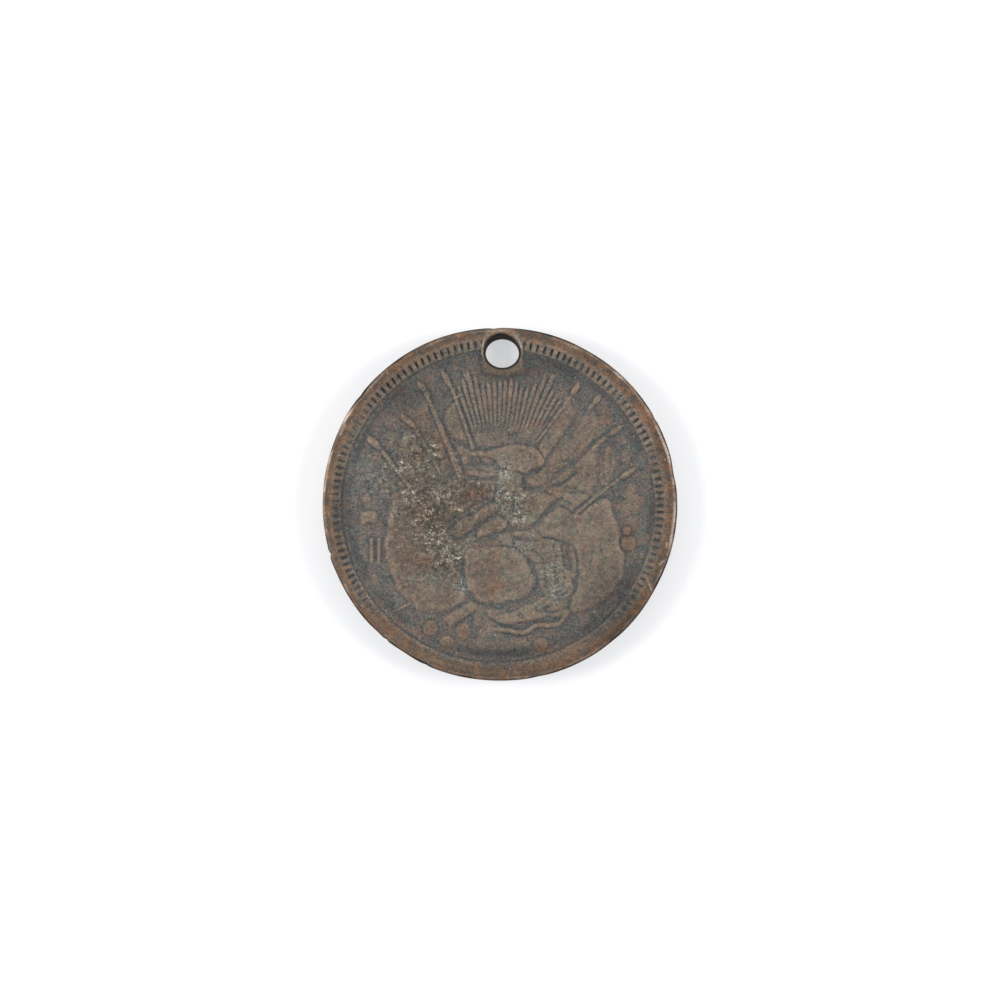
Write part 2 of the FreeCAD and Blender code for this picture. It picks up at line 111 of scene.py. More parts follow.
EAGLE_LEGS = [
    [(-2.95, -1.7), (-2.6, -1.2), (-2.0, -0.8), (-1.3, -0.3), (-0.6, 0.05), (-0.1, 0.05),
     (-0.15, -0.35), (-0.75, -0.75), (-1.35, -1.15), (-1.9, -1.6), (-2.5, -1.85)],
    [(-1.25, -1.85), (-1.1, -1.35), (-0.6, -0.95), (0.0, -0.7), (0.5, -0.95), (0.3, -1.4), (-0.3, -1.6),
     (-0.8, -1.85)],
]
SHIELD_CENTRE = (-0.5, -3.7)
SHIELD = [
    (-2.05, -3.2), (-1.9, -2.6), (-1.2, -2.35), (0.0, -2.3), (0.8, -2.55), (1.4, -3.0), (1.75, -3.7),
    (1.95, -4.4), (1.7, -5.0), (1.2, -5.3), (0.3, -5.55), (-0.6, -5.65), (-1.3, -5.4), (-1.8, -4.9),
    (-2.05, -4.0),
]
SASH = [
    (0.6, -1.75), (1.2, -1.9), (2.0, -2.0), (2.7, -2.0), (3.3, -2.15), (3.5, -2.7), (3.6, -3.3), (3.9, -3.8),
    (4.1, -4.3), (3.95, -4.8), (3.5, -5.15), (2.9, -5.1), (2.45, -5.2), (2.2, -4.6), (2.1, -3.9),
    (1.8, -3.2), (1.3, -2.7), (0.8, -2.3),
]
RIBBON = [
    (-0.3, -7.05), (0.4, -7.1), (0.9, -7.22), (1.5, -7.2), (1.9, -6.9), (2.3, -6.82), (2.8, -6.82),
    (3.3, -6.75), (3.6, -6.4), (3.85, -6.1),
]
SCROLL = [
    (-0.4, -6.4), (0.3, -6.15), (1.0, -5.95), (1.7, -5.6), (2.3, -5.2), (2.8, -4.95), (2.75, -5.3),
    (2.3, -5.65), (2.2, -5.95), (3.0, -6.05), (3.8, -5.95), (3.5, -6.3), (2.8, -6.38), (2.2, -6.5),
    (1.7, -6.65), (1.1, -6.75), (0.4, -6.72), (-0.1, -6.6),
]
LEFT_DRAPE = [
    (-5.95, 1.0), (-6.1, 0.0), (-6.35, -1.0), (-6.5, -2.1), (-6.45, -3.2), (-6.05, -4.2), (-5.5, -5.0),
    (-5.05, -5.5), (-4.6, -5.9), (-3.8, -6.05), (-3.0, -6.0), (-2.4, -5.75), (-2.0, -5.3), (-1.95, -4.9),
    (-2.5, -4.55), (-3.2, -4.3), (-4.0, -4.0), (-4.8, -3.6), (-5.5, -3.2), (-5.75, -2.2), (-5.75, -1.0),
    (-5.8, 0.2),
]
RIGHT_DRAPE = [
    (5.7, 0.3), (6.1, 0.2), (6.3, -0.3), (6.5, -0.9), (6.72, -1.6), (7.0, -2.5), (7.08, -3.4),
    (6.9, -4.2), (6.4, -4.9), (5.7, -5.5), (4.9, -5.95), (4.2, -6.15), (3.9, -5.8), (4.05, -5.3),
    (4.3, -4.8), (4.35, -4.2), (4.35, -3.6), (4.3, -2.9), (4.15, -2.35), (3.6, -2.05), (2.9, -1.9),
    (2.3, -1.7), (2.0, -1.35), (2.45, -0.9), (2.9, -0.4), (3.4, -0.1), (3.9, -0.4), (4.4, -0.55),
    (5.0, -0.1),
]
LEFT_TROPHY = [
    (-5.95, 0.7), (-5.0, 1.1), (-4.0, 1.25), (-3.0, 1.1), (-2.3, 0.9), (-1.9, 0.3), (-2.1, -0.3),
    (-2.9, -0.9), (-3.15, -1.8), (-2.7, -2.6), (-2.25, -3.4), (-2.2, -4.7), (-3.2, -4.7), (-4.2, -4.4),
    (-5.2, -3.9), (-5.95, -3.3), (-6.2, -1.8), (-6.05, -0.4),
]
LEFT_FLAGS = [
    [(-4.3, 6.15), (-4.55, 5.5), (-4.7, 4.8), (-4.45, 4.3), (-3.9, 4.2), (-3.5, 4.5), (-3.7, 5.2),
     (-4.0, 5.8)],
    [(-2.55, 5.9), (-2.9, 5.5), (-3.12, 5.0), (-3.1, 4.4), (-2.85, 4.0), (-2.3, 3.6), (-1.75, 3.5),
     (-1.9, 4.1), (-2.15, 4.9), (-2.35, 5.6)],
    [(-5.1, 4.0), (-5.55, 3.4), (-5.55, 2.5), (-5.2, 2.0), (-4.5, 2.0), (-4.1, 2.8), (-4.2, 3.6),
     (-4.6, 4.0)],
    [(-3.9, 4.2), (-3.4, 4.2), (-3.15, 3.6), (-2.8, 2.9), (-2.6, 2.3), (-3.2, 2.2), (-3.7, 2.9), (-3.9, 3.6)],
]
RIGHT_FLAGS = [
    [(3.85, 6.1), (4.1, 5.6), (4.25, 5.0), (4.0, 4.5), (3.65, 4.0), (3.2, 3.4), (2.8, 2.9), (2.5, 2.6),
     (2.25, 3.0), (2.2, 3.5), (2.5, 4.1), (2.95, 4.8), (3.3, 5.4), (3.6, 5.9)],
    [(5.05, 5.35), (5.35, 5.2), (5.45, 4.7), (5.62, 4.25), (5.4, 3.95), (5.12, 3.55), (4.75, 3.12),
     (4.3, 2.72), (3.9, 2.35), (3.4, 2.0), (2.9, 1.75), (2.65, 2.05), (2.9, 2.6), (3.3, 3.1),
     (3.75, 3.65), (4.2, 4.2), (4.6, 4.75)],
    [(5.9, 3.6), (5.68, 3.2), (5.48, 2.6), (5.5, 2.0), (5.5, 1.4), (5.3, 0.98), (4.9, 0.75), (4.2, 0.88),
     (3.5, 0.98), (2.9, 1.12), (2.95, 1.5), (3.5, 1.85), (4.1, 2.2), (4.6, 2.6), (5.1, 3.15), (5.5, 3.55)],
    [(2.6, 0.82), (3.2, 0.78), (4.0, 0.7), (4.8, 0.55), (5.0, 0.25), (4.4, -0.15), (3.8, 0.15), (3.2, 0.4)],
]
ROLLED_FLAG = [
    (6.1, 3.45), (6.35, 3.0), (6.55, 2.4), (6.5, 1.8), (6.25, 1.35), (5.95, 1.35), (5.82, 1.8),
    (5.85, 2.6), (5.95, 3.2),
]
GROUND = [
    (-1.5, -5.95), (-0.7, -6.0), (-0.35, -6.6), (0.4, -7.3), (1.4, -7.5), (1.7, -8.0), (0.5, -8.4),
    (-0.8, -8.4), (-1.5, -7.9), (-1.45, -7.0),
]
CLOUDS = [
    [(7.3, 1.4), (7.8, 1.1), (8.0, 0.3), (8.05, -0.6), (7.8, -1.2), (7.4, -1.2), (7.05, -0.6),
     (6.75, 0.3), (6.9, 1.0)],
    [(6.9, 3.7), (7.3, 3.6), (7.5, 3.0), (7.3, 2.3), (6.95, 2.3), (6.75, 3.0)],
    [(-7.5, -3.9), (-7.0, -3.8), (-6.7, -4.4), (-6.95, -4.9), (-7.35, -4.8)],
    [(-3.5, 6.5), (-3.15, 6.2), (-3.15, 5.6), (-3.5, 5.5), (-3.7, 6.0)],
    [(-6.6, 4.9), (-6.0, 4.8), (-5.75, 4.1), (-5.9, 3.4), (-6.3, 3.35), (-6.45, 4.0)],
]
# Low ground that the trophies stand on, beside the eagle, right of the sash and along the scroll.
MASSES = [
    [(-5.75, 1.5), (-5.7, 2.6), (-5.65, 3.6), (-5.2, 4.2), (-4.75, 4.5), (-4.65, 5.4), (-4.35, 6.1),
     (-3.7, 5.8), (-3.3, 5.0), (-2.8, 3.9), (-2.1, 3.2), (-1.2, 3.1), (-0.3, 2.4), (-0.2, 1.0),
     (-0.3, 0.3), (-1.2, -0.3), (-2.3, -1.0), (-2.4, -1.8), (-1.4, -1.8), (0.4, -1.5), (0.9, -2.3),
     (-0.6, -2.6), (-1.9, -3.0), (-2.0, -4.6), (-3.0, -4.6), (-4.5, -3.8), (-5.6, -3.4), (-6.0, -1.5),
     (-5.9, 0.5)],
    [(2.0, -2.2), (1.0, -2.0), (0.4, -1.5), (1.2, -1.2), (2.3, -0.7), (3.2, 0.2), (2.4, 0.5), (1.6, 0.5),
     (1.2, 1.2), (1.7, 1.9), (2.4, 2.2), (3.1, 3.6), (3.3, 5.2), (3.8, 6.0), (4.3, 5.1), (5.1, 5.4),
     (5.7, 4.2), (6.2, 3.7), (6.65, 2.6), (6.6, 1.6), (6.9, 1.4), (6.2, 0.6), (5.0, -0.3), (4.4, -1.5),
     (3.6, -2.3)],
    [(3.4, -2.0), (4.3, -2.2), (4.5, -4.0), (4.3, -5.4), (3.3, -5.3), (3.6, -3.5)],
    [(2.6, -5.0), (3.6, -5.1), (4.4, -5.4), (4.2, -6.1), (3.0, -6.2), (1.5, -6.4), (0.0, -6.6), (-1.2, -6.0),
     (-0.5, -5.9), (0.8, -5.9), (1.8, -5.4)],
]
# Spearheads: foot, tip, width. Shafts: one end, the other end, and the width at each.
SPEARS = [
    ((-6.65, 3.0), (-7.6, 4.0), 0.42), ((-4.7, 4.2), (-5.6, 5.1), 0.36),
    ((-4.15, 6.3), (-4.7, 7.0), 0.34), ((-2.7, 6.45), (-3.3, 7.6), 0.3),
    ((4.0, 6.1), (4.5, 6.9), 0.32), ((5.2, 5.55), (5.8, 6.35), 0.32),
    ((6.0, 3.8), (7.0, 4.5), 0.32), ((6.7, 1.4), (7.65, 2.05), 0.36),
]
SHAFTS = [
    ((-6.65, 3.0), (-5.1, 0.95), 0.2, 0.24), ((-4.7, 4.2), (-3.3, 1.6), 0.24, 0.2),
    ((-4.2, 6.35), (-2.1, 1.3), 0.26, 0.42), ((-2.7, 6.5), (-1.5, 3.1), 0.16, 0.18),
    ((-2.65, 5.95), (-2.1, 6.2), 0.14, 0.14),
    ((4.0, 6.1), (2.1, 3.5), 0.16, 0.16), ((5.2, 5.6), (4.9, 5.1), 0.2, 0.2),
    ((6.0, 3.8), (5.2, 3.1), 0.24, 0.24), ((6.7, 1.4), (4.2, -0.6), 0.2, 0.18),
]
DRUMSTICKS = [
    ((-7.25, -1.9), (-7.25, -3.3), 0.17, 0.17), ((-6.83, -1.9), (-6.83, -3.4), 0.17, 0.17),
    ((-6.0, -6.1), (-5.0, -5.55), 0.12, 0.12),
]
BARREL = ((-1.4, -5.65), (-3.05, -6.7), 0.6, 0.66)
AMMUNITION_BOX = ((-7.72, -0.76), (-7.02, -0.76), 0.56, 0.56)
BALLS = [
    ((-3.93, -6.98), 0.44), ((-3.0, -7.8), 0.4), ((-2.05, -7.15), 0.46), ((2.3, -7.93), 0.42),
    ((7.25, -2.2), 0.42), ((7.15, -1.5), 0.26),
]
# The deepest valleys between devices, and how wide they are.
VALLEYS = [
    ([(4.6, 5.2), (4.1, 4.55), (3.7, 3.95), (3.1, 3.2), (2.65, 2.5), (2.3, 2.0), (1.75, 1.82), (1.4, 1.5)],
     0.13),
    ([(1.4, 1.5), (1.28, 1.05), (1.6, 0.82), (2.4, 0.95), (3.3, 1.05), (3.8, 1.4), (4.3, 1.8)], 0.1),
    ([(6.0, 3.95), (5.4, 3.62), (5.0, 3.12), (4.6, 2.72), (4.1, 2.3)], 0.13),
    ([(5.7, 3.15), (5.6, 2.3), (5.68, 1.4), (5.3, 0.75)], 0.13),
    ([(6.3, 0.95), (5.7, 0.5), (5.1, 0.0), (4.5, -0.55)], 0.09),
    ([(6.3, 0.9), (6.4, 0.1), (6.6, -0.6), (6.95, -1.3)], 0.16),
    ([(5.9, 1.05), (5.4, 0.7), (4.8, 0.15), (4.2, -0.3)], 0.08),
    ([(3.5, 0.35), (2.8, -0.2), (2.2, -0.85), (1.5, -1.42), (0.6, -1.48), (-0.2, -1.75)], 0.13),
    ([(-3.3, 4.8), (-2.85, 3.8), (-2.4, 2.9), (-2.0, 2.0)], 0.11),
    ([(-1.8, 2.25), (-1.0, 2.28), (-0.3, 2.2)], 0.14),
    ([(-2.0, 1.42), (-1.2, 1.42), (-0.3, 1.45)], 0.07),
    ([(-2.95, -1.0), (-2.0, -0.5), (-1.2, 0.05), (-0.5, 0.35)], 0.16),
    ([(-2.6, -2.1), (-1.7, -1.65), (-1.15, -1.05)], 0.14),
    ([(-1.7, -2.15), (-0.9, -2.1), (-0.2, -1.9)], 0.14),
    ([(-1.4, -5.5), (-0.5, -5.82), (0.5, -5.7), (1.3, -5.42), (1.85, -5.1), (2.05, -4.75)], 0.13),
    ([(3.72, -2.3), (3.8, -3.0), (3.95, -3.6)], 0.17),
    ([(4.15, -4.3), (4.2, -4.85), (3.9, -5.2)], 0.09),
    ([(2.7, -5.3), (3.1, -5.45), (3.4, -5.3)], 0.22),
    ([(2.5, -5.9), (2.9, -5.7)], 0.13),
    ([(-2.1, -3.2), (-2.08, -4.1), (-1.9, -4.9), (-1.6, -5.3)], 0.12),
    ([(0.2, -6.85), (1.1, -6.95), (1.9, -6.7), (2.7, -6.58), (3.4, -6.5)], 0.09),
]

# How high the devices stand above the field, and how deep the border is cut, in millimetres.
RISE = {
    "cloud": 0.05, "ground": 0.06, "mass": 0.075, "left_flag": 0.09, "right_flag": 0.11, "rolled_flag": 0.11,
    "spear": 0.13, "shaft": 0.14, "left_drape": 0.14, "right_drape": 0.15, "left_trophy": 0.12,
    "scroll": 0.12, "ribbon": 0.11, "sash": 0.13, "barrel": 0.12, "box": 0.11, "drumstick": 0.12, "ball": 0.1,
    "shield": 0.16, "leg": 0.15, "body": 0.14, "wing": 0.16, "feather": 0.13, "head": 0.13, "collar": 0.13,
    "lip": 0.07, "stem": 0.08, "leaf": 0.14, "berry": 0.1, "bow_loop": 0.15, "bow_tail": 0.13, "knot": 0.17,
    "burr": 0.2,
}
TOOTH_DEPTH = 0.17
TROUGH_DEPTH = 0.04
# The part of the height that a valley takes away.
VALLEY_DEPTH = 0.62


# ---------------------------------------------------------------- small maths
PLACES_PER_SPAN = 7


def smooth(x):
    """A smooth step from 0 to 1 as x goes from 0 to 1."""
    t = np.clip(x, 0, 1)
    return t * t * (3 - 2 * t)


def bell(x):
    """1 at x = 0, falling to 0 on both sides."""
    return np.exp(-x * x)


def spans(before, start, end, beyond):
    """Places along smooth spans from start to end, given the points before and beyond them."""
    rows = []
    for t in np.arange(PLACES_PER_SPAN) / PLACES_PER_SPAN:
        rows.append(0.5 * (
            2 * start + (end - before) * t + (2 * before - 5 * start + 4 * end - beyond) * t ** 2
            + (3 * start - before - 3 * end + beyond) * t ** 3
        ))
    return np.stack(rows, 1).reshape(-1, 2)


def smooth_loop(points):
    """Places along a smooth closed curve through a few points."""
    p = np.array(points, float)
    return spans(np.roll(p, 1, 0), p, np.roll(p, -1, 0), np.roll(p, -2, 0))


def smooth_line(points):
    """Places along a smooth open curve through a few points."""
    p = np.array(points, float)
    whole = np.vstack([2 * p[:1] - p[1:2], p, 2 * p[-1:] - p[-2:-1]])
    return np.vstack([spans(whole[:-3], whole[1:-2], whole[2:-1], whole[3:]), p[-1:]])


def window(places, reach):
    """The lattice's rows and columns within reach of some places."""
    low, high = places.min(0) - reach, places.max(0) + reach
    columns = slice(*np.searchsorted(AXIS, (low[0], high[0])))
    rows = slice(*np.searchsorted(AXIS, (low[1], high[1])))
    return rows, columns


def distance_to(places, at, closed):
    """The distance from a window of the lattice to a line of places."""
    starts = places if closed else places[:-1]
    ends = np.roll(places, -1, 0) if closed else places[1:]
    u, v = U[at], V[at]
    best = np.full(u.shape, np.inf)
    for (au, av), (bu, bv) in zip(starts, ends):
        du, dv = bu - au, bv - av
        t = np.clip(((u - au) * du + (v - av) * dv) / (du * du + dv * dv + 1e-12), 0, 1)
        best = np.minimum(best, (u - au - t * du) ** 2 + (v - av - t * dv) ** 2)
    return np.sqrt(best)


def inside(places, at):
    """Which places of a window of the lattice a closed line goes round."""
    u, v = U[at], V[at]
    odd = np.zeros(u.shape, bool)
    for (au, av), (bu, bv) in zip(places, np.roll(places, -1, 0)):
        if au == bu and av == bv:
            continue
        crosses = (av > v) != (bv > v)
        odd ^= crosses & (u < au + (v - av) / (bv - av + 1e-12) * (bu - au))
    return odd


def depth_in(places, at):
    """How far the lattice lies inside a closed line, negative outside it."""
    away = distance_to(places, at, True)
    return np.where(inside(places, at), away, -away)


def blurred(field, size):
    """The field softened by a round bell as wide as size."""
    ky = np.fft.fftfreq(U.shape[0], STEP)[:, None]
    kx = np.fft.rfftfreq(U.shape[1], STEP)[None, :]
    soft = np.exp(-0.5 * (kx ** 2 + ky ** 2) * (2 * math.pi * size) ** 2)
    return np.fft.irfft2(np.fft.rfft2(field) * soft, U.shape)


def noise(size, seed):
    """Soft random hills about as wide as size, with mean 0 and deviation 1."""
    field = blurred(np.random.default_rng(seed).standard_normal(U.shape), size)
    return (field - field.mean()) / field.std()


# How far worn outlines wander from their true place.
WANDER = 0.03 * noise(0.16, 11) + 0.03 * noise(0.5, 12)


# ---------------------------------------------------------------- outlines of simple shapes
def bar_outline(start, end, start_width, end_width):
    a, b = np.array(start), np.array(end)
    along = (b - a) / np.hypot(*(b - a))
    side = np.array([-along[1], along[0]])
    return np.array([
        a + side * start_width / 2, b + side * end_width / 2,
        b - side * end_width / 2, a - side * start_width / 2,
    ])


def leaf_outline(base, tip, width):
    a, b = np.array(base), np.array(tip)
    side = np.array([-(b - a)[1], (b - a)[0]]) / np.hypot(*(b - a))
    t = np.linspace(0, 1, 9)[:, None]
    bulge = side * width * 2 * t * (1 - t)
    line = a + (b - a) * t
    return np.vstack([line + bulge, (line - bulge)[-2:0:-1]])


# ---------------------------------------------------------------- striking relief into a height map
def strike(height, places, rise, edge=0.2, crown=0.25, moat=0.3, wander=1.0):
    """Raises the shape inside a closed line, softly rounded, with a groove where it stands on others."""
    at = window(places, 0.9)
    depth = depth_in(places, at) + wander * WANDER[at]
    below = height[at] * (1 - moat * bell((depth + 0.03) / 0.09) * (depth < 0.08))
    top = rise * smooth((depth + edge * 0.4) / edge) * (1 - crown * np.exp(-np.maximum(depth, 0) / 0.4))
    height[at] = np.maximum(below, top)


def strike_line(height, points, rise, width):
    """Raises a rounded ridge along an open line."""
    places = smooth_line(points)
    at = window(places, width * 2)
    away = distance_to(places, at, False)
    height[at] = np.maximum(height[at], rise * smooth(1.25 - away / width))


def beside(points, width):
    """A window around an open line, and in it 1 on the line, falling to 0 beside it."""
    places = smooth_line(points)
    at = window(places, width * 3)
    return at, bell(distance_to(places, at, False) / width)


def crease(height, points, change, width):
    """Lowers or lifts what is already there along a line, as folds and feathers do."""
    at, share = beside(points, width)
    height[at] += change * share * np.minimum(height[at] / 0.06, 1)


def ball(height, centre, radius, rise):
    """Raises a low dome with a groove around it."""
    away = np.hypot(U - centre[0], V - centre[1]) / radius
    dome = rise * np.sqrt(np.clip(1.08 - away ** 2, 0, 1))
    height *= 1 - 0.7 * bell((away - 1.15) / 0.25) * (away > 0.9)
    np.maximum(height, dome, out=height)


def groove(height, points, depth, width):
    """Takes away a part of the height along a line: all of it where the depth is 1."""
    at, share = beside(points, width)
    height[at] *= 1 - depth * share


def rays(height):
    """A fan of ridges over the sun, longer in some bundles, with narrow gaps between them."""
    du, dv = U - RAY_CENTRE[0], V - RAY_CENTRE[1]
    away = np.hypot(du, dv)
    angle = np.degrees(np.arctan2(du, dv))
    first, last = RAY_ANGLES
    pitch = (last - first) / (RAY_COUNT - 1)
    number = np.round((np.clip(angle, first, last) - first) / pitch)
    own = first + number * pitch
    uneven = np.random.default_rng(5).uniform(-0.3, 0.3, RAY_COUNT)[number.astype(int)]
    reach = RAY_REACH + 0.6 * uneven + sum(more * bell((own - at) / wide) for at, wide, more in RAY_BUNDLES)
    off = np.abs(angle - own + 0.12 * noise(0.4, 15)) / pitch
    width = 0.2 + 0.14 * smooth((reach - away) / 0.9)
    ridge = smooth((width - off) / 0.16 + 0.5) * smooth((reach - away) / 0.3)
    foot = smooth((V - RAY_FOOT + 0.15 + 0.5 * uneven) / 0.5)
    lies = smooth((angle - first + pitch) / pitch) * smooth((last + pitch - angle) / pitch)
    sector = lies * smooth((away - 2.9) / 0.3) * smooth((reach - 0.3 - away) / 0.6)
    level = sector * (0.05 * (1 - foot) + foot * (0.008 + 0.062 * ridge))
    fan = (off < 0.5) * (angle > first - pitch) * (angle < last + pitch)
    level = np.maximum(level, 0.065 * ridge * foot * fan)
    np.maximum(height, level, out=height)


def sky_and_ground(h):
    """The clouds, the ground, the rays and the low masses behind everything else."""
    for cloud in CLOUDS:
        strike(h, smooth_loop(cloud), RISE["cloud"], edge=0.7, crown=0.3, moat=0)
    strike(h, smooth_loop(GROUND), RISE["ground"], edge=0.6)
    rays(h)
    for mass in MASSES:
        strike(h, smooth_loop(mass), RISE["mass"], edge=0.45, crown=0, moat=0)


def flags_and_lances(h):
    """The flags with their folds, the lances and the tip of a staff."""
    for flag in LEFT_FLAGS:
        strike(h, smooth_loop(flag), RISE["left_flag"], edge=0.4, moat=0.12)
    for flag in RIGHT_FLAGS:
        strike(h, smooth_loop(flag), RISE["right_flag"], edge=0.3, moat=0.4)
    strike(h, smooth_loop(ROLLED_FLAG), RISE["rolled_flag"], edge=0.24, moat=0.4)
    for line in [
        [(5.2, 4.8), (4.3, 3.9), (3.2, 2.5)], [(5.35, 4.3), (4.6, 3.4), (3.6, 2.4)],
        [(3.85, 5.5), (3.3, 4.6), (2.7, 3.6)], [(5.2, 2.9), (4.4, 1.9), (3.6, 1.2)],
        [(5.4, 2.2), (4.9, 1.5), (4.2, 0.9)], [(6.2, 3.0), (6.25, 2.2), (6.15, 1.5)],
    ]:
        crease(h, line, -0.02, 0.09)
    for line in [
        [(-4.1, 5.9), (-4.2, 5.2), (-4.3, 4.5)], [(-5.35, 3.8), (-5.35, 3.2), (-5.3, 2.7)],
        [(-3.5, 4.2), (-3.3, 3.4), (-3.0, 2.5)], [(-2.45, 5.8), (-2.9, 5.3), (-3.1, 4.7), (-2.9, 4.1)],
    ]:
        crease(h, line, 0.03, 0.1)
    for spear in SPEARS:
        strike(h, leaf_outline(*spear), RISE["spear"], edge=0.18, crown=0, wander=0.3)
    for shaft in SHAFTS:
        strike(h, bar_outline(*shaft), RISE["shaft"], edge=0.18, crown=0, wander=0.2)
    strike_line(h, [(-2.05, 7.55), (-2.0, 7.3), (-1.75, 6.9)], 0.08, 0.1)


def drapes(h):
    """The drapery on both sides with its folds, and the crusted trophy."""
    strike(h, smooth_loop(RIGHT_DRAPE), RISE["right_drape"], edge=0.4, moat=0.35)
    for line in [
        [(5.1, -0.6), (4.8, -1.4), (5.2, -2.4), (5.1, -3.6)], [(6.2, -1.4), (6.35, -2.2), (6.5, -2.7)],
        [(4.4, -0.9), (3.4, -1.2), (2.6, -1.3)], [(5.9, -3.0), (5.4, -4.4), (4.6, -5.4)],
        [(4.7, -2.1), (4.75, -2.7), (4.7, -3.4)],
    ]:
        crease(h, line, -0.035, 0.2)
    crease(h, [(5.5, -1.3), (5.35, -2.6), (5.1, -4.2), (4.5, -5.5)], 0.02, 0.14)
    strike(h, smooth_loop(LEFT_TROPHY), RISE["left_trophy"], edge=0.5, moat=0)
    strike(h, smooth_loop(LEFT_DRAPE), RISE["left_drape"], edge=0.4, moat=0)
    crease(h, [(-5.3, -3.05), (-4.6, -3.5), (-3.9, -3.95), (-3.1, -4.3), (-2.4, -4.6)], -0.03, 0.12)
    crease(h, [(-5.9, -3.4), (-5.2, -4.5), (-4.0, -5.3)], 0.02, 0.3)
    crease(h, [(-5.0, -3.9), (-3.6, -4.6), (-2.5, -4.9)], -0.03, 0.2)


def small_devices(h):
    """The scroll, the ribbon, the sash and what lies around them."""
    strike(h, smooth_loop(SCROLL), RISE["scroll"], edge=0.22)
    ball(h, (1.2, -6.3), 0.09, 0.14)
    strike_line(h, RIBBON, RISE["ribbon"], 0.15)
    strike(h, smooth_loop(SASH), RISE["sash"], edge=0.36, moat=0.3)
    for line in [
        [(1.0, -1.95), (1.7, -2.5), (2.4, -3.05), (2.55, -4.1), (2.65, -4.8)],
        [(3.0, -2.4), (3.2, -3.2), (3.2, -4.2), (3.15, -4.9)],
        [(3.55, -3.7), (3.65, -4.3), (3.5, -4.9)],
    ]:
        crease(h, line, -0.05, 0.15)
    strike(h, bar_outline(*BARREL), RISE["barrel"], edge=0.26, moat=0.3)
    strike(h, smooth_loop(bar_outline(*AMMUNITION_BOX)), RISE["box"], edge=0.24, crown=0)
    for stick in DRUMSTICKS:
        strike(h, bar_outline(*stick), RISE["drumstick"], edge=0.14, crown=0, wander=0)


def shield(h):
    """The round shield, with its ring and its sunk middle."""
    strike(h, smooth_loop(SHIELD), RISE["shield"], edge=0.4, moat=0.25)
    away = np.hypot(U - SHIELD_CENTRE[0], V - SHIELD_CENTRE[1])
    ridge = 0.012 * bell((away - 0.8) / 0.2)
    sunk = 0.02 * bell(away / 0.5)
    rings = ridge - sunk - 0.015 * bell((away - 1.25) / 0.15)
    h += (away < 2) * rings


def eagle(h):
    """The eagle, from its legs to its head."""
    for leg in EAGLE_LEGS:
        strike(h, smooth_loop(leg), RISE["leg"], edge=0.32, moat=0.4)
    strike(h, smooth_loop(EAGLE_BODY), RISE["body"], edge=0.5, moat=0.1)
    strike(h, smooth_loop(EAGLE_WING), RISE["wing"], edge=0.32, moat=0)
    for line in [
        [(-1.9, 2.72), (-0.8, 2.72), (0.4, 2.85)], [(0.6, 3.1), (1.4, 3.0), (2.0, 2.6)],
        [(0.2, 2.3), (0.9, 2.2), (1.5, 2.1)],
    ]:
        crease(h, line, -0.02, 0.1)
    for feather in EAGLE_FEATHERS:
        strike(h, smooth_loop(feather), RISE["feather"], edge=0.2)
    strike(h, smooth_loop(EAGLE_HEAD), RISE["head"], edge=0.3, moat=0.3)


def front_relief():
    """The front's devices above the field, in millimetres, the furthest ones first."""
    h = np.zeros(U.shape)
    for strike_devices in (sky_and_ground, flags_and_lances, drapes, small_devices, shield, eagle):
        strike_devices(h)
    for points, width in VALLEYS:
        groove(h, points, VALLEY_DEPTH, width)
    for centre, radius in BALLS:
        ball(h, centre, radius, RISE["ball"])
    return h


STEM_RADIUS = 5.9
WREATH_ANGLES = (-74, 52)
LEAF_PAIRS = 11
LEAF_LENGTH = 1.5
LEAF_WIDTH = 0.5
LEAF_SPREAD = 27


def wreath_places():
    """The back's two branches: leaves as (foot, tip), berries, and the two stems' lines."""
    leaves, berries, stems = [], [], []
    for side in (1, -1):
        def place(radius, degrees, side=side):
            a = math.radians(degrees)
            return (BACK_CENTRE[0] + side * radius * math.cos(a), BACK_CENTRE[1] + radius * math.sin(a))

        for i in range(LEAF_PAIRS):
            angle = WREATH_ANGLES[0] + (WREATH_ANGLES[1] - WREATH_ANGLES[0]) * i / LEAF_PAIRS
            for spread in (-LEAF_SPREAD, 0, LEAF_SPREAD):
                lean = math.radians(90 + spread)
                out, along = LEAF_LENGTH * math.cos(lean), LEAF_LENGTH * math.sin(lean)
                turn = math.degrees(math.atan2(along, STEM_RADIUS + out))
                tip = place(math.hypot(STEM_RADIUS + out, along), angle + turn)
                leaves.append((place(STEM_RADIUS, angle), tip))
            berries.append(place(STEM_RADIUS + (1.05 if i % 2 else -1.05), angle + 3))
        stems.append([place(STEM_RADIUS, a) for a in np.linspace(WREATH_ANGLES[0] - 8, WREATH_ANGLES[1], 12)])
    return leaves, berries, stems


def back_relief():
    """The back's wreath above the field, in millimetres."""
    h = np.zeros(U.shape)
    leaves, berries, stems = wreath_places()
    for stem in stems:
        strike_line(h, stem, RISE["stem"], 0.13)
    for foot, tip in leaves:
        strike(h, leaf_outline(foot, tip, LEAF_WIDTH), RISE["leaf"], edge=0.16, crown=0.2)
        crease(h, [foot, tip], -0.03, 0.05)
    for berry in berries:
        ball(h, berry, 0.17, RISE["berry"])
    knot = np.array((BACK_CENTRE[0], BACK_CENTRE[1] - STEM_RADIUS))
    for side in (1, -1):
        strike(h, leaf_outline(knot, knot + (side * 1.3, 0.55), 0.5), RISE["bow_loop"], edge=0.16)
        strike(h, leaf_outline(knot, knot + (side * 0.95, -1.35), 0.34), RISE["bow_tail"], edge=0.14)
    ball(h, knot, 0.3, RISE["knot"])
    return h


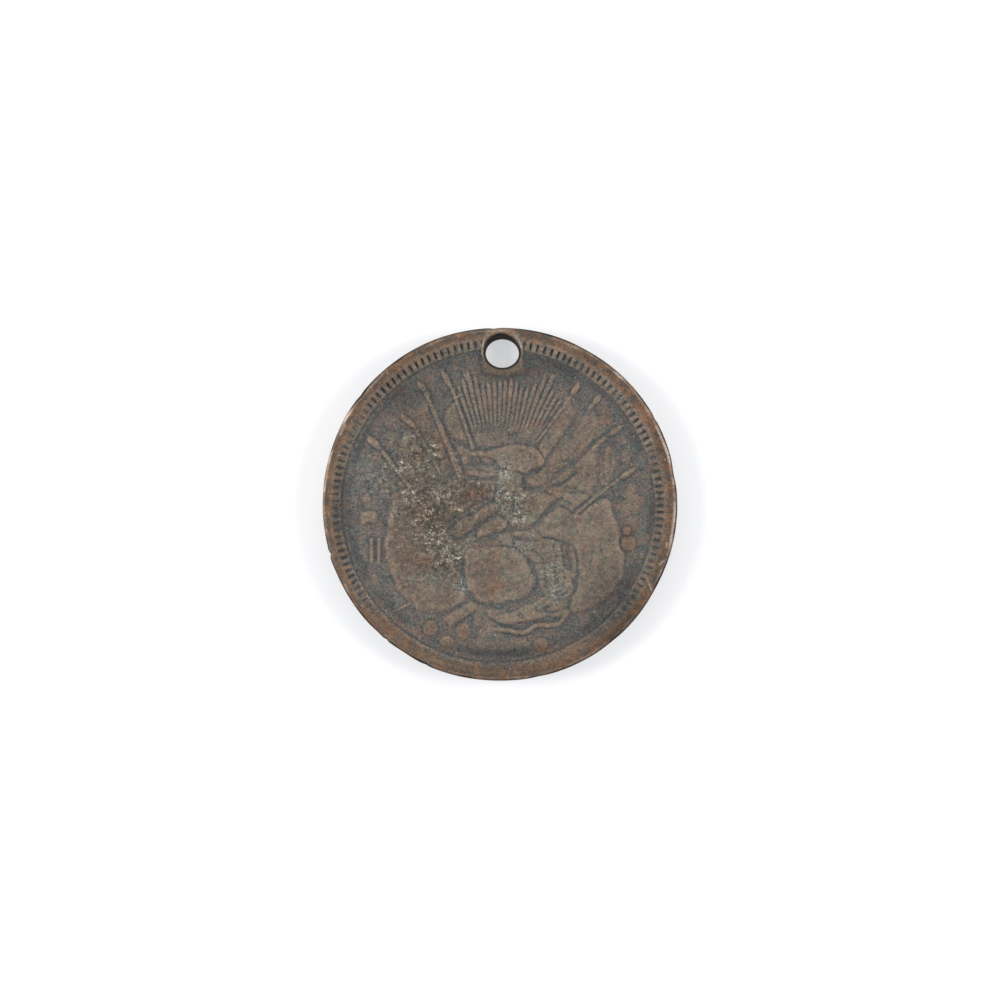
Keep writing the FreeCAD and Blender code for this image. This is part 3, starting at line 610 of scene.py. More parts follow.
# Dents, nicks and swellings of the outline: azimuth and half width in degrees, depth in tenths of the radius.
DENTS = [
    (90, 18, 0.05), (60, 10, 0.03), (10, 4, 0.06), (270, 20, 0.05), (332, 9, 0.035), (92, 1.2, 0.04),
    (198, 3, -0.035), (150, 4, -0.02), (196.3, 0.8, 0.08), (226, 3, 0.03), (237, 5, 0.045), (230, 0.7, 0.05),
    (245, 1.0, 0.03), (309, 3, 0.02), (283, 2, 0.02), (29, 1.1, 0.03), (142, 1.3, 0.03),
]


def edge_radius(azimuth):
    """The disc's radius by azimuth in degrees: out of round a little, with dents and a nick or two."""
    r = np.full(np.shape(azimuth), 10.0)
    for at, half_width, deep in DENTS:
        turn = (azimuth - at + 180) % 360 - 180
        r = r - deep * bell(turn / half_width)
    return r


AWAY = np.hypot(U, V)
AZIMUTH = np.degrees(np.arctan2(V, U))
EDGE_GAP = edge_radius(AZIMUTH) - AWAY


def border(h, centre, wear_side):
    """The border's teeth and the plain rim, the teeth worn away towards one azimuth."""
    du, dv = U - centre[0], V - centre[1]
    away = np.hypot(du, dv)
    azimuth = np.arctan2(dv, du)
    toward = np.cos(azimuth - math.radians(wear_side))
    crisp = smooth((0.88 - toward) / 0.7)
    near_hole = smooth((1.4 - np.hypot(U - HOLE_CENTRE[0], V - HOLE_CENTRE[1])) / 0.3)
    uneven = np.clip(0.62 + 0.28 * noise(0.6, 21) + 0.3 * np.cos(azimuth - 0.7), 0.2, 1)
    crisp = crisp * (1 - near_hole) * uneven
    wave = np.cos(TOOTH_COUNT * azimuth + 0.5 * noise(0.5, 22))
    slots = smooth((wave - 0.1) / 0.6) * smooth((TOOTH_OUTER + 0.08 - away) / 0.1)
    mouth = smooth((away - TOOTH_INNER + 0.08) / 0.1)
    middle = smooth((away - TOOTH_INNER - 0.07) / 0.1)
    slots *= 0.3 * crisp * mouth + 0.7 * middle
    step = 0.4 * smooth((away - TOOTH_INNER + 0.08) / 0.14)
    ramp = step + 0.6 * smooth((away - TOOTH_INNER) / (RIM_INNER - TOOTH_INNER + 0.1))
    rim = RIM_HEIGHT / MM * ramp - TOOTH_DEPTH * slots * crisp
    trough = -TROUGH_DEPTH * bell((away - TROUGH_RADIUS) / 0.2)
    return np.where(away > TOOTH_INNER - 0.2, np.maximum(h + trough, rim), h + trough)


# Burrs that the punch left beside the hole, and scratches on the rim.
LIPS = [
    [(0.92, 9.48), (1.08, 9.2), (1.19, 8.8), (1.21, 8.4), (1.14, 8.1)],
    [(-0.86, 9.35), (-0.97, 8.95), (-0.97, 8.5), (-0.86, 8.15)],
]
SCRATCHES = [
    [(8.35, -4.35), (8.5, -4.75), (8.62, -4.95)], [(9.0, -3.4), (9.2, -3.2)], [(9.35, -2.4), (9.4, -2.2)],
    [(-9.0, 3.9), (-8.7, 4.5)],
]


def lines_at(lines, width):
    """1 along some open curves, falling to 0 beside them."""
    total = np.zeros(U.shape)
    for line in lines:
        at, share = beside(line, width)
        total[at] = np.maximum(total[at], share)
    return total


def opening_share(u, v):
    """1 on the wall of the punched hole, more outside it and less inside."""
    return np.hypot((u - OPENING_CENTRE[0]) / OPENING[0], (v - OPENING_CENTRE[1]) / OPENING[1])


def dragged_share(u, v):
    """1 on the edge of the hollow that the punch dragged into the front, more outside it."""
    return np.hypot((u - HOLLOW_CENTRE[0]) / HOLLOW[0], (v - HOLLOW_CENTRE[1]) / HOLLOW[1])


def front_hole(h):
    """The metal around the hole: flattened, dragged in by the punch at the top, with a burr on its right."""
    du, dv = U - HOLE_CENTRE[0], V - HOLE_CENTRE[1]
    plate = (np.abs(du / 1.16) ** 4 + np.abs((dv + 0.1) / 1.2) ** 4) ** 0.25
    h = np.maximum(h, RISE["collar"] * smooth((1.2 - plate) / 0.4))
    share = opening_share(U, V)
    above = smooth(np.sin(np.arctan2(V - OPENING_CENTRE[1], U - OPENING_CENTRE[0])) / 0.7)
    pulled = smooth((1.08 - dragged_share(U, V)) / 0.12)
    h = h - 0.14 * smooth((1.14 - share) / 0.11) - 0.5 * above * pulled
    return h + RISE["lip"] * lines_at(LIPS, 0.05)


def back_hole(h):
    """The burr that the punch left around the hole on the back."""
    away = np.hypot(U - HOLE_CENTRE[0], V - HOLE_CENTRE[1])
    ragged = 0.03 * noise(0.3, 31)
    h = np.maximum(h, RISE["burr"] * smooth((1.3 + ragged - away) / 0.2))
    return h - 0.06 * smooth((1.1 - opening_share(U, V)) / 0.12)


def zone(spots):
    """How much each place belongs to some round or oval zones: (u, v, half width, half height, amount)."""
    total = np.zeros(U.shape)
    for u, v, wide, tall, amount in spots:
        total += amount * bell(np.hypot((U - u) / wide, (V - v) / tall))
    return np.clip(total, 0, 1)


def grains(density, size, seed):
    """Scattered small round grains, as many per square tenth as the density says."""
    rng = np.random.default_rng(seed)
    chance = density * STEP ** 2
    seeds = (rng.random(U.shape) < chance) * rng.uniform(0.4, 1.6, U.shape)
    peak = STEP ** 2 / (2 * math.pi * size ** 2)
    return np.clip(blurred(seeds, size) / peak, 0, 1.3)


# Depths and heights in millimetres at which a hollow, a raised edge and the relief count in full.
HOLLOW_FULL = 0.028
PROUD_FULL = 0.035
RELIEF_FULL = 0.08
# How far in from the edge the dark ring of patina inside the teeth lies.
PATINA_RING = 1.48


def weathered(h, spots, seed):
    """One face's height map after wear and corrosion, and its marks for the material, each 0 to 1."""
    rough = zone(spots["corroded"])
    green = zone(spots["verdigris"])
    clean = np.clip(1.3 - rough, 0, 1)
    # hollow: how far a place lies below its surroundings. The material gives hollows blue-grey patina and
    # darkens them further with painted shade.
    hollow = np.clip((blurred(h, 0.12) - h) / HOLLOW_FULL, 0, 1)
    ring = 0.95 * bell((EDGE_GAP - PATINA_RING) / 0.27) * smooth(0.7 + 0.4 * noise(0.6, seed + 10))
    hollow = np.maximum(hollow, ring)
    # proud: raised edges, which the material lightens as rubbed copper and as a painted highlight.
    proud = np.clip((h - blurred(h, 0.2)) / PROUD_FULL, 0, 1)
    relief = smooth(blurred(h, 0.05) / RELIEF_FULL) * (1 - 0.6 * bell((EDGE_GAP - 0.9) / 0.22))
    pits = smooth((noise(0.09, seed) - 1.1) / 1.2)
    h = h + 0.008 * noise(0.045, seed + 1) + 0.009 * noise(0.12, seed + 2) + 0.012 * noise(0.5, seed + 3)
    crust = rough * (0.02 * noise(0.06, seed + 4) + 0.03 * noise(0.16, seed + 5))
    h = h + crust - 0.03 * pits * (0.4 + rough)
    crumbs = grains(0.5 + 7 * green + 2.0 * rough, 0.026, seed + 6)
    threads = smooth(1.4 * np.clip(rough + green, 0, 1) - 0.1) * smooth((noise(0.22, seed + 7) + 0.25) / 1.1)
    h = np.minimum(h + 0.02 * crumbs, RIM_HEIGHT / MM)
    bare_edge = zone(spots["bare_edge"])
    # Painted shade: the outer side of the edge, except where it is bare, the hole's wall and the edge of the
    # punched hollow are marked to be painted dark.
    outline = smooth((0.08 + 0.03 * noise(0.3, seed + 11) - EDGE_GAP) / 0.05) * (1 - bare_edge)
    dirt = smooth((1.19 - opening_share(U, V)) / 0.1)
    dirt = np.maximum(dirt, smooth((1.06 - dragged_share(U, V)) / 0.07))
    dirt = np.maximum(dirt, outline)
    streaks = smooth(0.5 + 0.5 * noise(0.35, seed + 9))
    # A band just inside the edge is painted with a highlight over worn copper, strongest in the listed zones;
    # burrs and scratches are bare copper.
    bright = bell((EDGE_GAP - 0.15 + 0.08 * bare_edge + 0.015 * noise(0.3, seed + 12)) / 0.06)
    bright = bright * (0.2 + 0.8 * streaks) * (0.2 + 0.8 * zone(spots["bright"]))
    bright = np.maximum(bright, 0.5 * lines_at(spots["bare_lines"], 0.045))
    return {
        "height": h, "relief": relief, "hollow": hollow, "proud": proud * clean,
        "rough_skin": np.clip(rough + 0.6 * green, 0, 1), "verdigris": green, "crumbs": np.clip(crumbs, 0, 1),
        "threads": threads, "dirt": dirt, "bloom": zone(spots["bloom"]) * (1 - 0.7 * relief),
        "rust": zone(spots["rust"]), "bright": bright, "rim": smooth((0.98 - EDGE_GAP) / 0.3),
        "dusk": zone(spots["dusk"]),
    }


# Where each face is corroded, stained, darker or bare, where its edge is painted with a highlight, as zone()
# reads it, and the lines scraped bare.
FRONT_SPOTS = {
    "corroded": [
        (-4.0, 0.0, 2.0, 2.4, 1.0), (-2.9, -3.2, 1.0, 1.1, 0.9), (-4.2, 2.9, 1.7, 1.2, 0.8),
        (-1.2, 0.6, 1.2, 0.9, 0.6), (-6.6, 1.4, 0.9, 1.4, 0.45), (0.8, 0.0, 1.4, 1.3, 0.5),
    ],
    "verdigris": [
        (0.2, 1.2, 0.45, 1.0, 0.9), (0.7, 0.0, 0.7, 0.7, 0.8), (1.3, -0.8, 0.9, 0.45, 0.6),
        (3.15, -3.8, 0.3, 1.3, 1.0), (3.3, -5.0, 0.6, 0.35, 1.0), (2.5, -3.7, 0.3, 0.9, 0.9),
        (3.7, -3.9, 0.3, 0.6, 0.6), (-2.15, -4.5, 0.4, 0.45, 1.0), (1.3, -2.4, 1.1, 0.4, 0.7),
        (-3.9, -4.15, 1.1, 0.3, 0.7), (-3.0, -2.7, 0.9, 0.9, 0.5), (-4.8, 2.2, 1.0, 0.8, 0.4),
        (0.2, 2.3, 0.5, 0.4, 0.4), (2.6, -5.65, 0.5, 0.3, 0.6), (-3.2, 0.6, 1.1, 0.9, 0.35),
        (-5.2, -1.9, 0.7, 0.6, 0.3), (-1.8, -1.9, 0.6, 0.4, 0.5),
    ],
    "bloom": [
        (-7.2, 1.3, 1.2, 1.6, 0.8), (-7.6, -2.4, 0.7, 1.5, 0.3), (0.2, -7.7, 1.5, 0.8, 0.45),
        (-3.9, -4.9, 1.6, 0.7, 0.5), (-5.3, -5.6, 1.2, 0.8, 0.4), (0.2, 4.4, 2.2, 0.9, 0.5),
        (1.5, -3.4, 0.4, 0.9, 0.5), (5.0, -6.8, 1.2, 0.6, 0.35),
    ],
    "rust": [
        (-0.4, -4.7, 0.5, 0.35, 1.0), (1.95, 4.5, 0.4, 0.35, 0.7), (3.2, 0.8, 0.8, 0.25, 0.4),
        (7.5, 0.2, 0.6, 1.2, 0.3), (-7.27, -2.6, 0.12, 0.8, 0.5), (-6.83, -2.6, 0.12, 0.8, 0.5),
        (-3.3, 3.5, 0.35, 0.6, 0.7), (-1.4, 0.5, 0.5, 0.35, 0.7), (5.95, 5.0, 0.4, 0.4, 0.4),
        (0.35, 0.45, 0.2, 0.4, 0.8), (-4.3, -3.2, 0.7, 0.3, 0.7), (-7.9, 0.1, 0.6, 0.3, 0.5),
        (2.4, -2.2, 0.5, 0.3, 0.5), (-0.2, -2.8, 0.3, 0.6, 0.4), (-4.3, -0.6, 0.6, 0.4, 0.5),
        (7.3, -1.5, 0.25, 0.2, 0.8), (1.2, 3.0, 0.3, 0.2, 0.7), (2.25, 2.6, 0.25, 0.4, 0.5),
        (-8.0, 5.2, 0.9, 0.7, 0.6), (-5.6, 7.9, 1.4, 0.5, 0.4), (4.1, 6.4, 0.25, 0.35, 0.8),
        (-5.0, 4.5, 0.3, 0.3, 0.8), (-1.2, 2.8, 0.8, 0.15, 0.5), (8.1, 5.6, 0.5, 0.5, 0.5),
        (-6.6, -7.0, 1.2, 1.0, 0.4), (4.0, -8.3, 2.5, 0.5, 0.4),
    ] + [(u, v, 0.4, 0.4, 0.75) for (u, v), radius in BALLS],
    "bright": [
        (9.5, 1.5, 2.0, 4.5, 1.0), (6.5, 7.5, 2.5, 2.0, 0.8), (-8.3, 5.0, 2.0, 3.0, 1.0),
        (-9.9, -1.0, 1.5, 3.5, 1.0),
    ],
    "bare_edge": [(-10.0, 0.5, 1.0, 3.2, 1.0), (-9.0, 4.4, 1.0, 1.6, 0.7)],
    "bare_lines": LIPS + SCRATCHES,
    "dusk": [
        (-5.4, 6.3, 2.4, 1.5, 0.7), (6.5, -5.5, 1.3, 2.2, 0.7), (0.3, -8.3, 2.6, 0.5, 0.6),
        (2.8, 7.7, 2.2, 0.8, 0.7), (-4.1, -0.9, 1.4, 1.7, 0.6), (6.7, -6.9, 3.0, 2.4, 0.7),
        (0.0, -9.5, 6.0, 0.6, 0.6), (-8.95, -0.5, 0.5, 4.0, 0.9), (0.3, 4.7, 2.6, 1.2, 0.3),
        (0.15, 7.6, 1.4, 0.5, 1.0), (-1.0, 8.5, 0.25, 0.9, 0.8), (1.3, 8.5, 0.2, 0.9, 0.5),
        (-6.0, -7.6, 2.4, 1.6, 0.3), (8.9, 0.0, 0.3, 3.5, 0.4), (-2.7, 4.6, 0.8, 1.2, 0.1),
        (-2.3, -2.0, 0.5, 0.4, 0.7), (2.1, 2.0, 0.3, 0.6, 0.5), (-3.5, -3.6, 1.0, 0.5, 0.6),
        (0.5, -8.0, 1.6, 0.5, 0.4), (3.9, -2.9, 0.2, 0.7, 0.8), (3.9, 1.6, 1.3, 0.8, 0.3),
        (6.2, 2.8, 0.35, 0.9, 0.5), (0.15, 7.45, 1.1, 0.35, 1.0), (1.25, 8.0, 0.2, 0.5, 0.5),
        (-1.5, -1.1, 1.2, 0.7, 0.5), (2.7, -3.4, 0.8, 1.3, 0.4), (8.9, 0.5, 0.45, 4.5, 0.4),
        (-3.3, 8.3, 2.6, 0.7, 0.4),
    ] + [(u, v, 0.45, 0.45, 0.5) for (u, v), radius in BALLS],
}
BACK_SPOTS = {
    "corroded": [(3.5, -1.0, 2.4, 2.0, 0.8), (-2.0, 3.6, 1.6, 1.2, 0.6), (-4.6, -3.6, 1.2, 1.2, 0.6)],
    "verdigris": [
        (3.8, -0.6, 1.2, 0.9, 0.6), (-1.8, 3.9, 0.9, 0.5, 0.6), (0.6, -5.8, 0.9, 0.5, 0.5),
        (5.6, 2.2, 0.6, 0.8, 0.4),
    ],
    "bloom": [(-1.5, -1.0, 2.6, 1.9, 0.5), (6.8, -3.4, 1.0, 1.6, 0.4)],
    "rust": [(1.6, 1.8, 0.8, 0.5, 0.6), (-3.4, 0.4, 0.5, 0.4, 0.5), (0.2, 7.0, 0.8, 0.4, 0.6)],
    "bright": [(9.5, 1.5, 2.0, 4.5, 0.8), (-8.3, 5.0, 2.0, 3.0, 0.8)],
    "bare_edge": [],
    "bare_lines": [],
    "dusk": [(-3.0, -2.0, 2.0, 1.5, 0.4)],
}
MARKS = (
    "relief", "hollow", "proud", "rough_skin", "verdigris", "crumbs", "threads", "dirt", "bloom", "rust",
    "bright", "rim", "dusk",
)


def sampled(field, u, v):
    """The field's value between its lattice points."""
    x = np.clip((u + SPAN) / STEP, 0, len(AXIS) - 1.001)
    y = np.clip((v + SPAN) / STEP, 0, len(AXIS) - 1.001)
    i, j = x.astype(int), y.astype(int)
    s, t = x - i, y - j
    return (field[j, i] * (1 - s) * (1 - t) + field[j, i + 1] * s * (1 - t)
            + field[j + 1, i] * (1 - s) * t + field[j + 1, i + 1] * s * t)


# ---------------------------------------------------------------- meshes
FIELD_CELLS = 400
STEPS_PER_TOOTH = 10
RIM_STEPS = 26
ROUND_STEPS = 5
EDGE_STEPS = 3
EDGE_ROUND = 0.12
HOLE_SIDES = 128
SHARP_ANGLE = math.radians(60)


def make_piece(name, places, faces, material):
    """A new mesh object made of these places and faces."""
    mesh = bpy.data.meshes.new(name)
    mesh.from_pydata(places, [], faces)
    mesh.validate()
    piece = bpy.data.objects.new(name, mesh)
    bpy.context.scene.collection.objects.link(piece)
    mesh.materials.append(material)
    return piece


def side_level(face, side, u, v):
    """The z in metres of a face's surface; side is 1 for the front and -1 for the back."""
    field = FRONT_FIELD if side > 0 else BACK_FIELD
    return field + side * sampled(face["height"], u, v) * MM


def disc_places(cells):
    """The corners of a square grid, spread evenly over a disc of radius 1."""
    line = np.linspace(-1, 1, cells + 1)
    a, b = np.meshgrid(line, line)
    wide = np.abs(a) >= np.abs(b)
    divisor = np.where(wide, a, b)
    divisor = np.where(divisor == 0, 1, divisor)
    turn = np.where(wide, b / divisor * math.pi / 4, math.pi / 2 - a / divisor * math.pi / 4)
    radius = np.where(wide, a, b)
    return radius * np.cos(turn), radius * np.sin(turn)


def field_piece(name, face, side, centre, material):
    """The struck field with its devices, as deep as the disc's middle."""
    a, b = disc_places(FIELD_CELLS)
    u, v = centre[0] + a * FIELD_RADIUS, centre[1] + b * FIELD_RADIUS
    z = side_level(face, side, u, v)
    top = np.stack([u * UNIT, v * UNIT, z], -1).reshape(-1, 3)
    n = FIELD_CELLS + 1
    corner = np.arange(n * n).reshape(n, n)
    quads = np.stack([corner[:-1, :-1], corner[:-1, 1:], corner[1:, 1:], corner[1:, :-1]], -1).reshape(-1, 4)
    ring = np.concatenate([corner[0, :-1], corner[:-1, -1], corner[-1, :0:-1], corner[:0:-1, 0]])
    foot = top[ring].copy()
    foot[:, 2] = MIDDLE
    places = np.vstack([top, foot, [[centre[0] * UNIT, centre[1] * UNIT, MIDDLE]]])
    below = n * n + np.arange(len(ring))
    hub = len(places) - 1
    walls = np.stack([ring, below, np.roll(below, -1), np.roll(ring, -1)], -1)
    faces = quads.tolist() + walls.tolist()
    faces += [[hub, int(q), int(p)] for p, q in zip(below, np.roll(below, -1))]
    if side < 0:
        faces = [f[::-1] for f in faces]
    return make_piece(name, places.tolist(), faces, material)


def ring_piece(name, face, side, centre, material):
    """The teeth, the rim and this face's half of the edge, as one closed ring."""
    turn = np.linspace(0, 2 * math.pi, TOOTH_COUNT * STEPS_PER_TOOTH, endpoint=False)
    outward = np.stack([np.cos(turn), np.sin(turn)], -1)
    inner = np.array(centre) + FIELD_RADIUS * outward
    radius = edge_radius(np.degrees(turn))
    shoulder = outward * (radius - EDGE_ROUND)[:, None]
    rows = [(inner, np.full(len(turn), MIDDLE))]
    for share in np.linspace(0, 1, RIM_STEPS + 1):
        at = inner + (shoulder - inner) * share
        rows.append((at, side_level(face, side, at[:, 0], at[:, 1])))
    shoulder_level = rows[-1][1]
    for lean in np.linspace(0, math.pi / 2, ROUND_STEPS + 1)[1:]:
        at = shoulder + outward * EDGE_ROUND * math.sin(lean)
        rows.append((at, shoulder_level - side * EDGE_ROUND * UNIT * (1 - math.cos(lean))))
    last_at, last_level = rows[-1]
    for share in np.linspace(0, 1, EDGE_STEPS + 1)[1:]:
        rows.append((last_at, last_level + (MIDDLE - last_level) * share))
    places = np.concatenate([np.column_stack([at * UNIT, level]) for at, level in rows])
    n, m = len(turn), len(rows)
    index = np.arange(n * m).reshape(m, n)
    across, along = np.roll(index, -1, 0), np.roll(index, -1, 1)
    both = np.roll(across, -1, 1)
    quads = np.stack([index, across, both, along], -1).reshape(-1, 4)
    if side < 0:
        quads = quads[:, ::-1]
    return make_piece(name, places.tolist(), quads.tolist(), material)


def punch(piece):
    """Cuts the hole through a piece."""
    turn = np.linspace(0, 2 * math.pi, HOLE_SIDES, endpoint=False)
    u = OPENING_CENTRE[0] + OPENING[0] * np.cos(turn)
    v = OPENING_CENTRE[1] + OPENING[1] * np.sin(turn)
    low = np.column_stack([u * UNIT, v * UNIT, np.full(HOLE_SIDES, -TOP)])
    high = low + [0, 0, 3 * TOP]
    n = HOLE_SIDES
    sides = [[i, (i + 1) % n, (i + 1) % n + n, i + n] for i in range(n)]
    caps = [list(range(n))[::-1], list(range(n, 2 * n))]
    tool = make_piece("punch", np.vstack([low, high]).tolist(), sides + caps, piece.data.materials[0])
    cut = piece.modifiers.new("hole", "BOOLEAN")
    cut.operation = "DIFFERENCE"
    cut.solver = "MANIFOLD"
    cut.object = tool
    graph = bpy.context.evaluated_depsgraph_get()
    whole = piece.data
    piece.data = bpy.data.meshes.new_from_object(piece.evaluated_get(graph))
    piece.modifiers.clear()
    bpy.data.meshes.remove(whole)
    bpy.data.objects.remove(tool)
    piece.data.name = piece.name


def mark(piece, face):
    """Stores the face's marks on the piece's vertices, and shades it smooth between sharp edges."""
    mesh = piece.data
    count = len(mesh.vertices)
    places = np.empty(count * 3)
    mesh.vertices.foreach_get("co", places)
    u, v = places[0::3] / UNIT, places[1::3] / UNIT
    for name in MARKS:
        values = np.clip(sampled(face[name], u, v), 0, 1).astype(np.float32)
        mesh.attributes.new(name, "FLOAT", "POINT").data.foreach_set("value", values)
    mesh.shade_smooth()
    mesh.set_sharp_from_angle(angle=SHARP_ANGLE)


# ---------------------------------------------------------------- the material
class Shader:
    """Builds one material's nodes; every value in it is a node's output socket or a number."""

    def __init__(self, name):
        self.material = bpy.data.materials.new(name)
        self.material.use_nodes = True
        self.tree = self.material.node_tree
        self.surface = self.tree.nodes["Principled BSDF"]
        where = self.tree.nodes.new("ShaderNodeTexCoord")
        scale = self.tree.nodes.new("ShaderNodeVectorMath")
        scale.operation = "SCALE"
        scale.inputs["Scale"].default_value = 1 / MM
        self.tree.links.new(where.outputs["Object"], scale.inputs[0])
        self.place = scale.outputs[0]

    def put(self, socket, value):
        if isinstance(value, bpy.types.NodeSocket):
            self.tree.links.new(value, socket)
        else:
            socket.default_value = value

    def mark(self, name):
        node = self.tree.nodes.new("ShaderNodeAttribute")
        node.attribute_name = name
        return node.outputs["Fac"]

    def noise(self, per_mm, detail=4.0, roughness=0.6, distortion=0.0):
        node = self.tree.nodes.new("ShaderNodeTexNoise")
        node.inputs["Scale"].default_value = per_mm
        node.inputs["Detail"].default_value = detail
        node.inputs["Roughness"].default_value = roughness
        node.inputs["Distortion"].default_value = distortion
        self.tree.links.new(self.place, node.inputs["Vector"])
        return node.outputs["Fac"]

    def sum(self, *terms):
        """Adds up (value, weight) pairs."""
        total = 0.0
        for value, weight in terms:
            total = self.maths("MULTIPLY_ADD", value, weight, total)
        return total

    def maths(self, operation, *values):
        node = self.tree.nodes.new("ShaderNodeMath")
        node.operation = operation
        for socket, value in zip(node.inputs, values):
            self.put(socket, value)
        return node.outputs[0]

    def times(self, a, b):
        return self.maths("MULTIPLY", a, b)

    def absolute(self, value):
        return self.maths("ABSOLUTE", value)

    def span(self, value, low, high, to_low=0.0, to_high=1.0):
        """Maps low..high to to_low..to_high, clamped."""
        node = self.tree.nodes.new("ShaderNodeMapRange")
        self.put(node.inputs["Value"], value)
        node.inputs["From Min"].default_value = low
        node.inputs["From Max"].default_value = high
        node.inputs["To Min"].default_value = to_low
        node.inputs["To Max"].default_value = to_high
        return node.outputs["Result"]

    def mix(self, share, first, second, blend="MIX"):
        node = self.tree.nodes.new("ShaderNodeMix")
        node.data_type = "RGBA"
        node.blend_type = blend
        self.put(node.inputs["Factor"], share)
        for socket, colour in ((node.inputs["A"], first), (node.inputs["B"], second)):
            self.put(socket, colour if isinstance(colour, bpy.types.NodeSocket) else (*colour, 1))
        return node.outputs["Result"]

    def grey(self, value):
        node = self.tree.nodes.new("ShaderNodeCombineColor")
        for socket in node.inputs:
            self.put(socket, value)
        return node.outputs["Color"]


PATINA_BLUE = (0.055, 0.064, 0.068)
PATINA_GREY = (0.105, 0.098, 0.088)
PATINA_BROWN = (0.1, 0.082, 0.066)
COPPER_DARK = (0.1, 0.077, 0.06)
COPPER_BROWN = (0.18, 0.132, 0.096)
COPPER_OLIVE = (0.175, 0.145, 0.108)
# Rubbed copper on raised edges, also used as a painted highlight.
COPPER_RUBBED_AND_HIGHLIT = (0.25, 0.19, 0.145)
# Painted highlight on the rim's edge, and bare copper on burrs and scratches.
COPPER_WEAR_AND_HIGHLIGHT = (0.7, 0.58, 0.49)
RIM_DARK = (0.052, 0.031, 0.019)
RIM_BROWN = (0.142, 0.08, 0.041)
RIM_ORANGE = (0.22, 0.1, 0.04)
BLOOM_GREY = (0.15, 0.14, 0.132)
TINT_RED = (0.17, 0.078, 0.058)
TINT_GREEN = (0.056, 0.09, 0.078)
TINT_PURPLE = (0.125, 0.088, 0.118)
RUST = (0.2, 0.09, 0.045)
CRUST_DARK = (0.04, 0.034, 0.026)
CRUST_THREAD = (0.52, 0.49, 0.38)
CRUST_WHITE = (0.45, 0.47, 0.4)
VERDIGRIS = (0.22, 0.262, 0.232)
# Dark patina in the hollows, deepened as painted shade.
GROOVE = (0.035, 0.039, 0.041)
# Painted shade on the hole's wall and the outer side of the edge.
PAINTED_SHADE_DARK = (0.02, 0.016, 0.013)


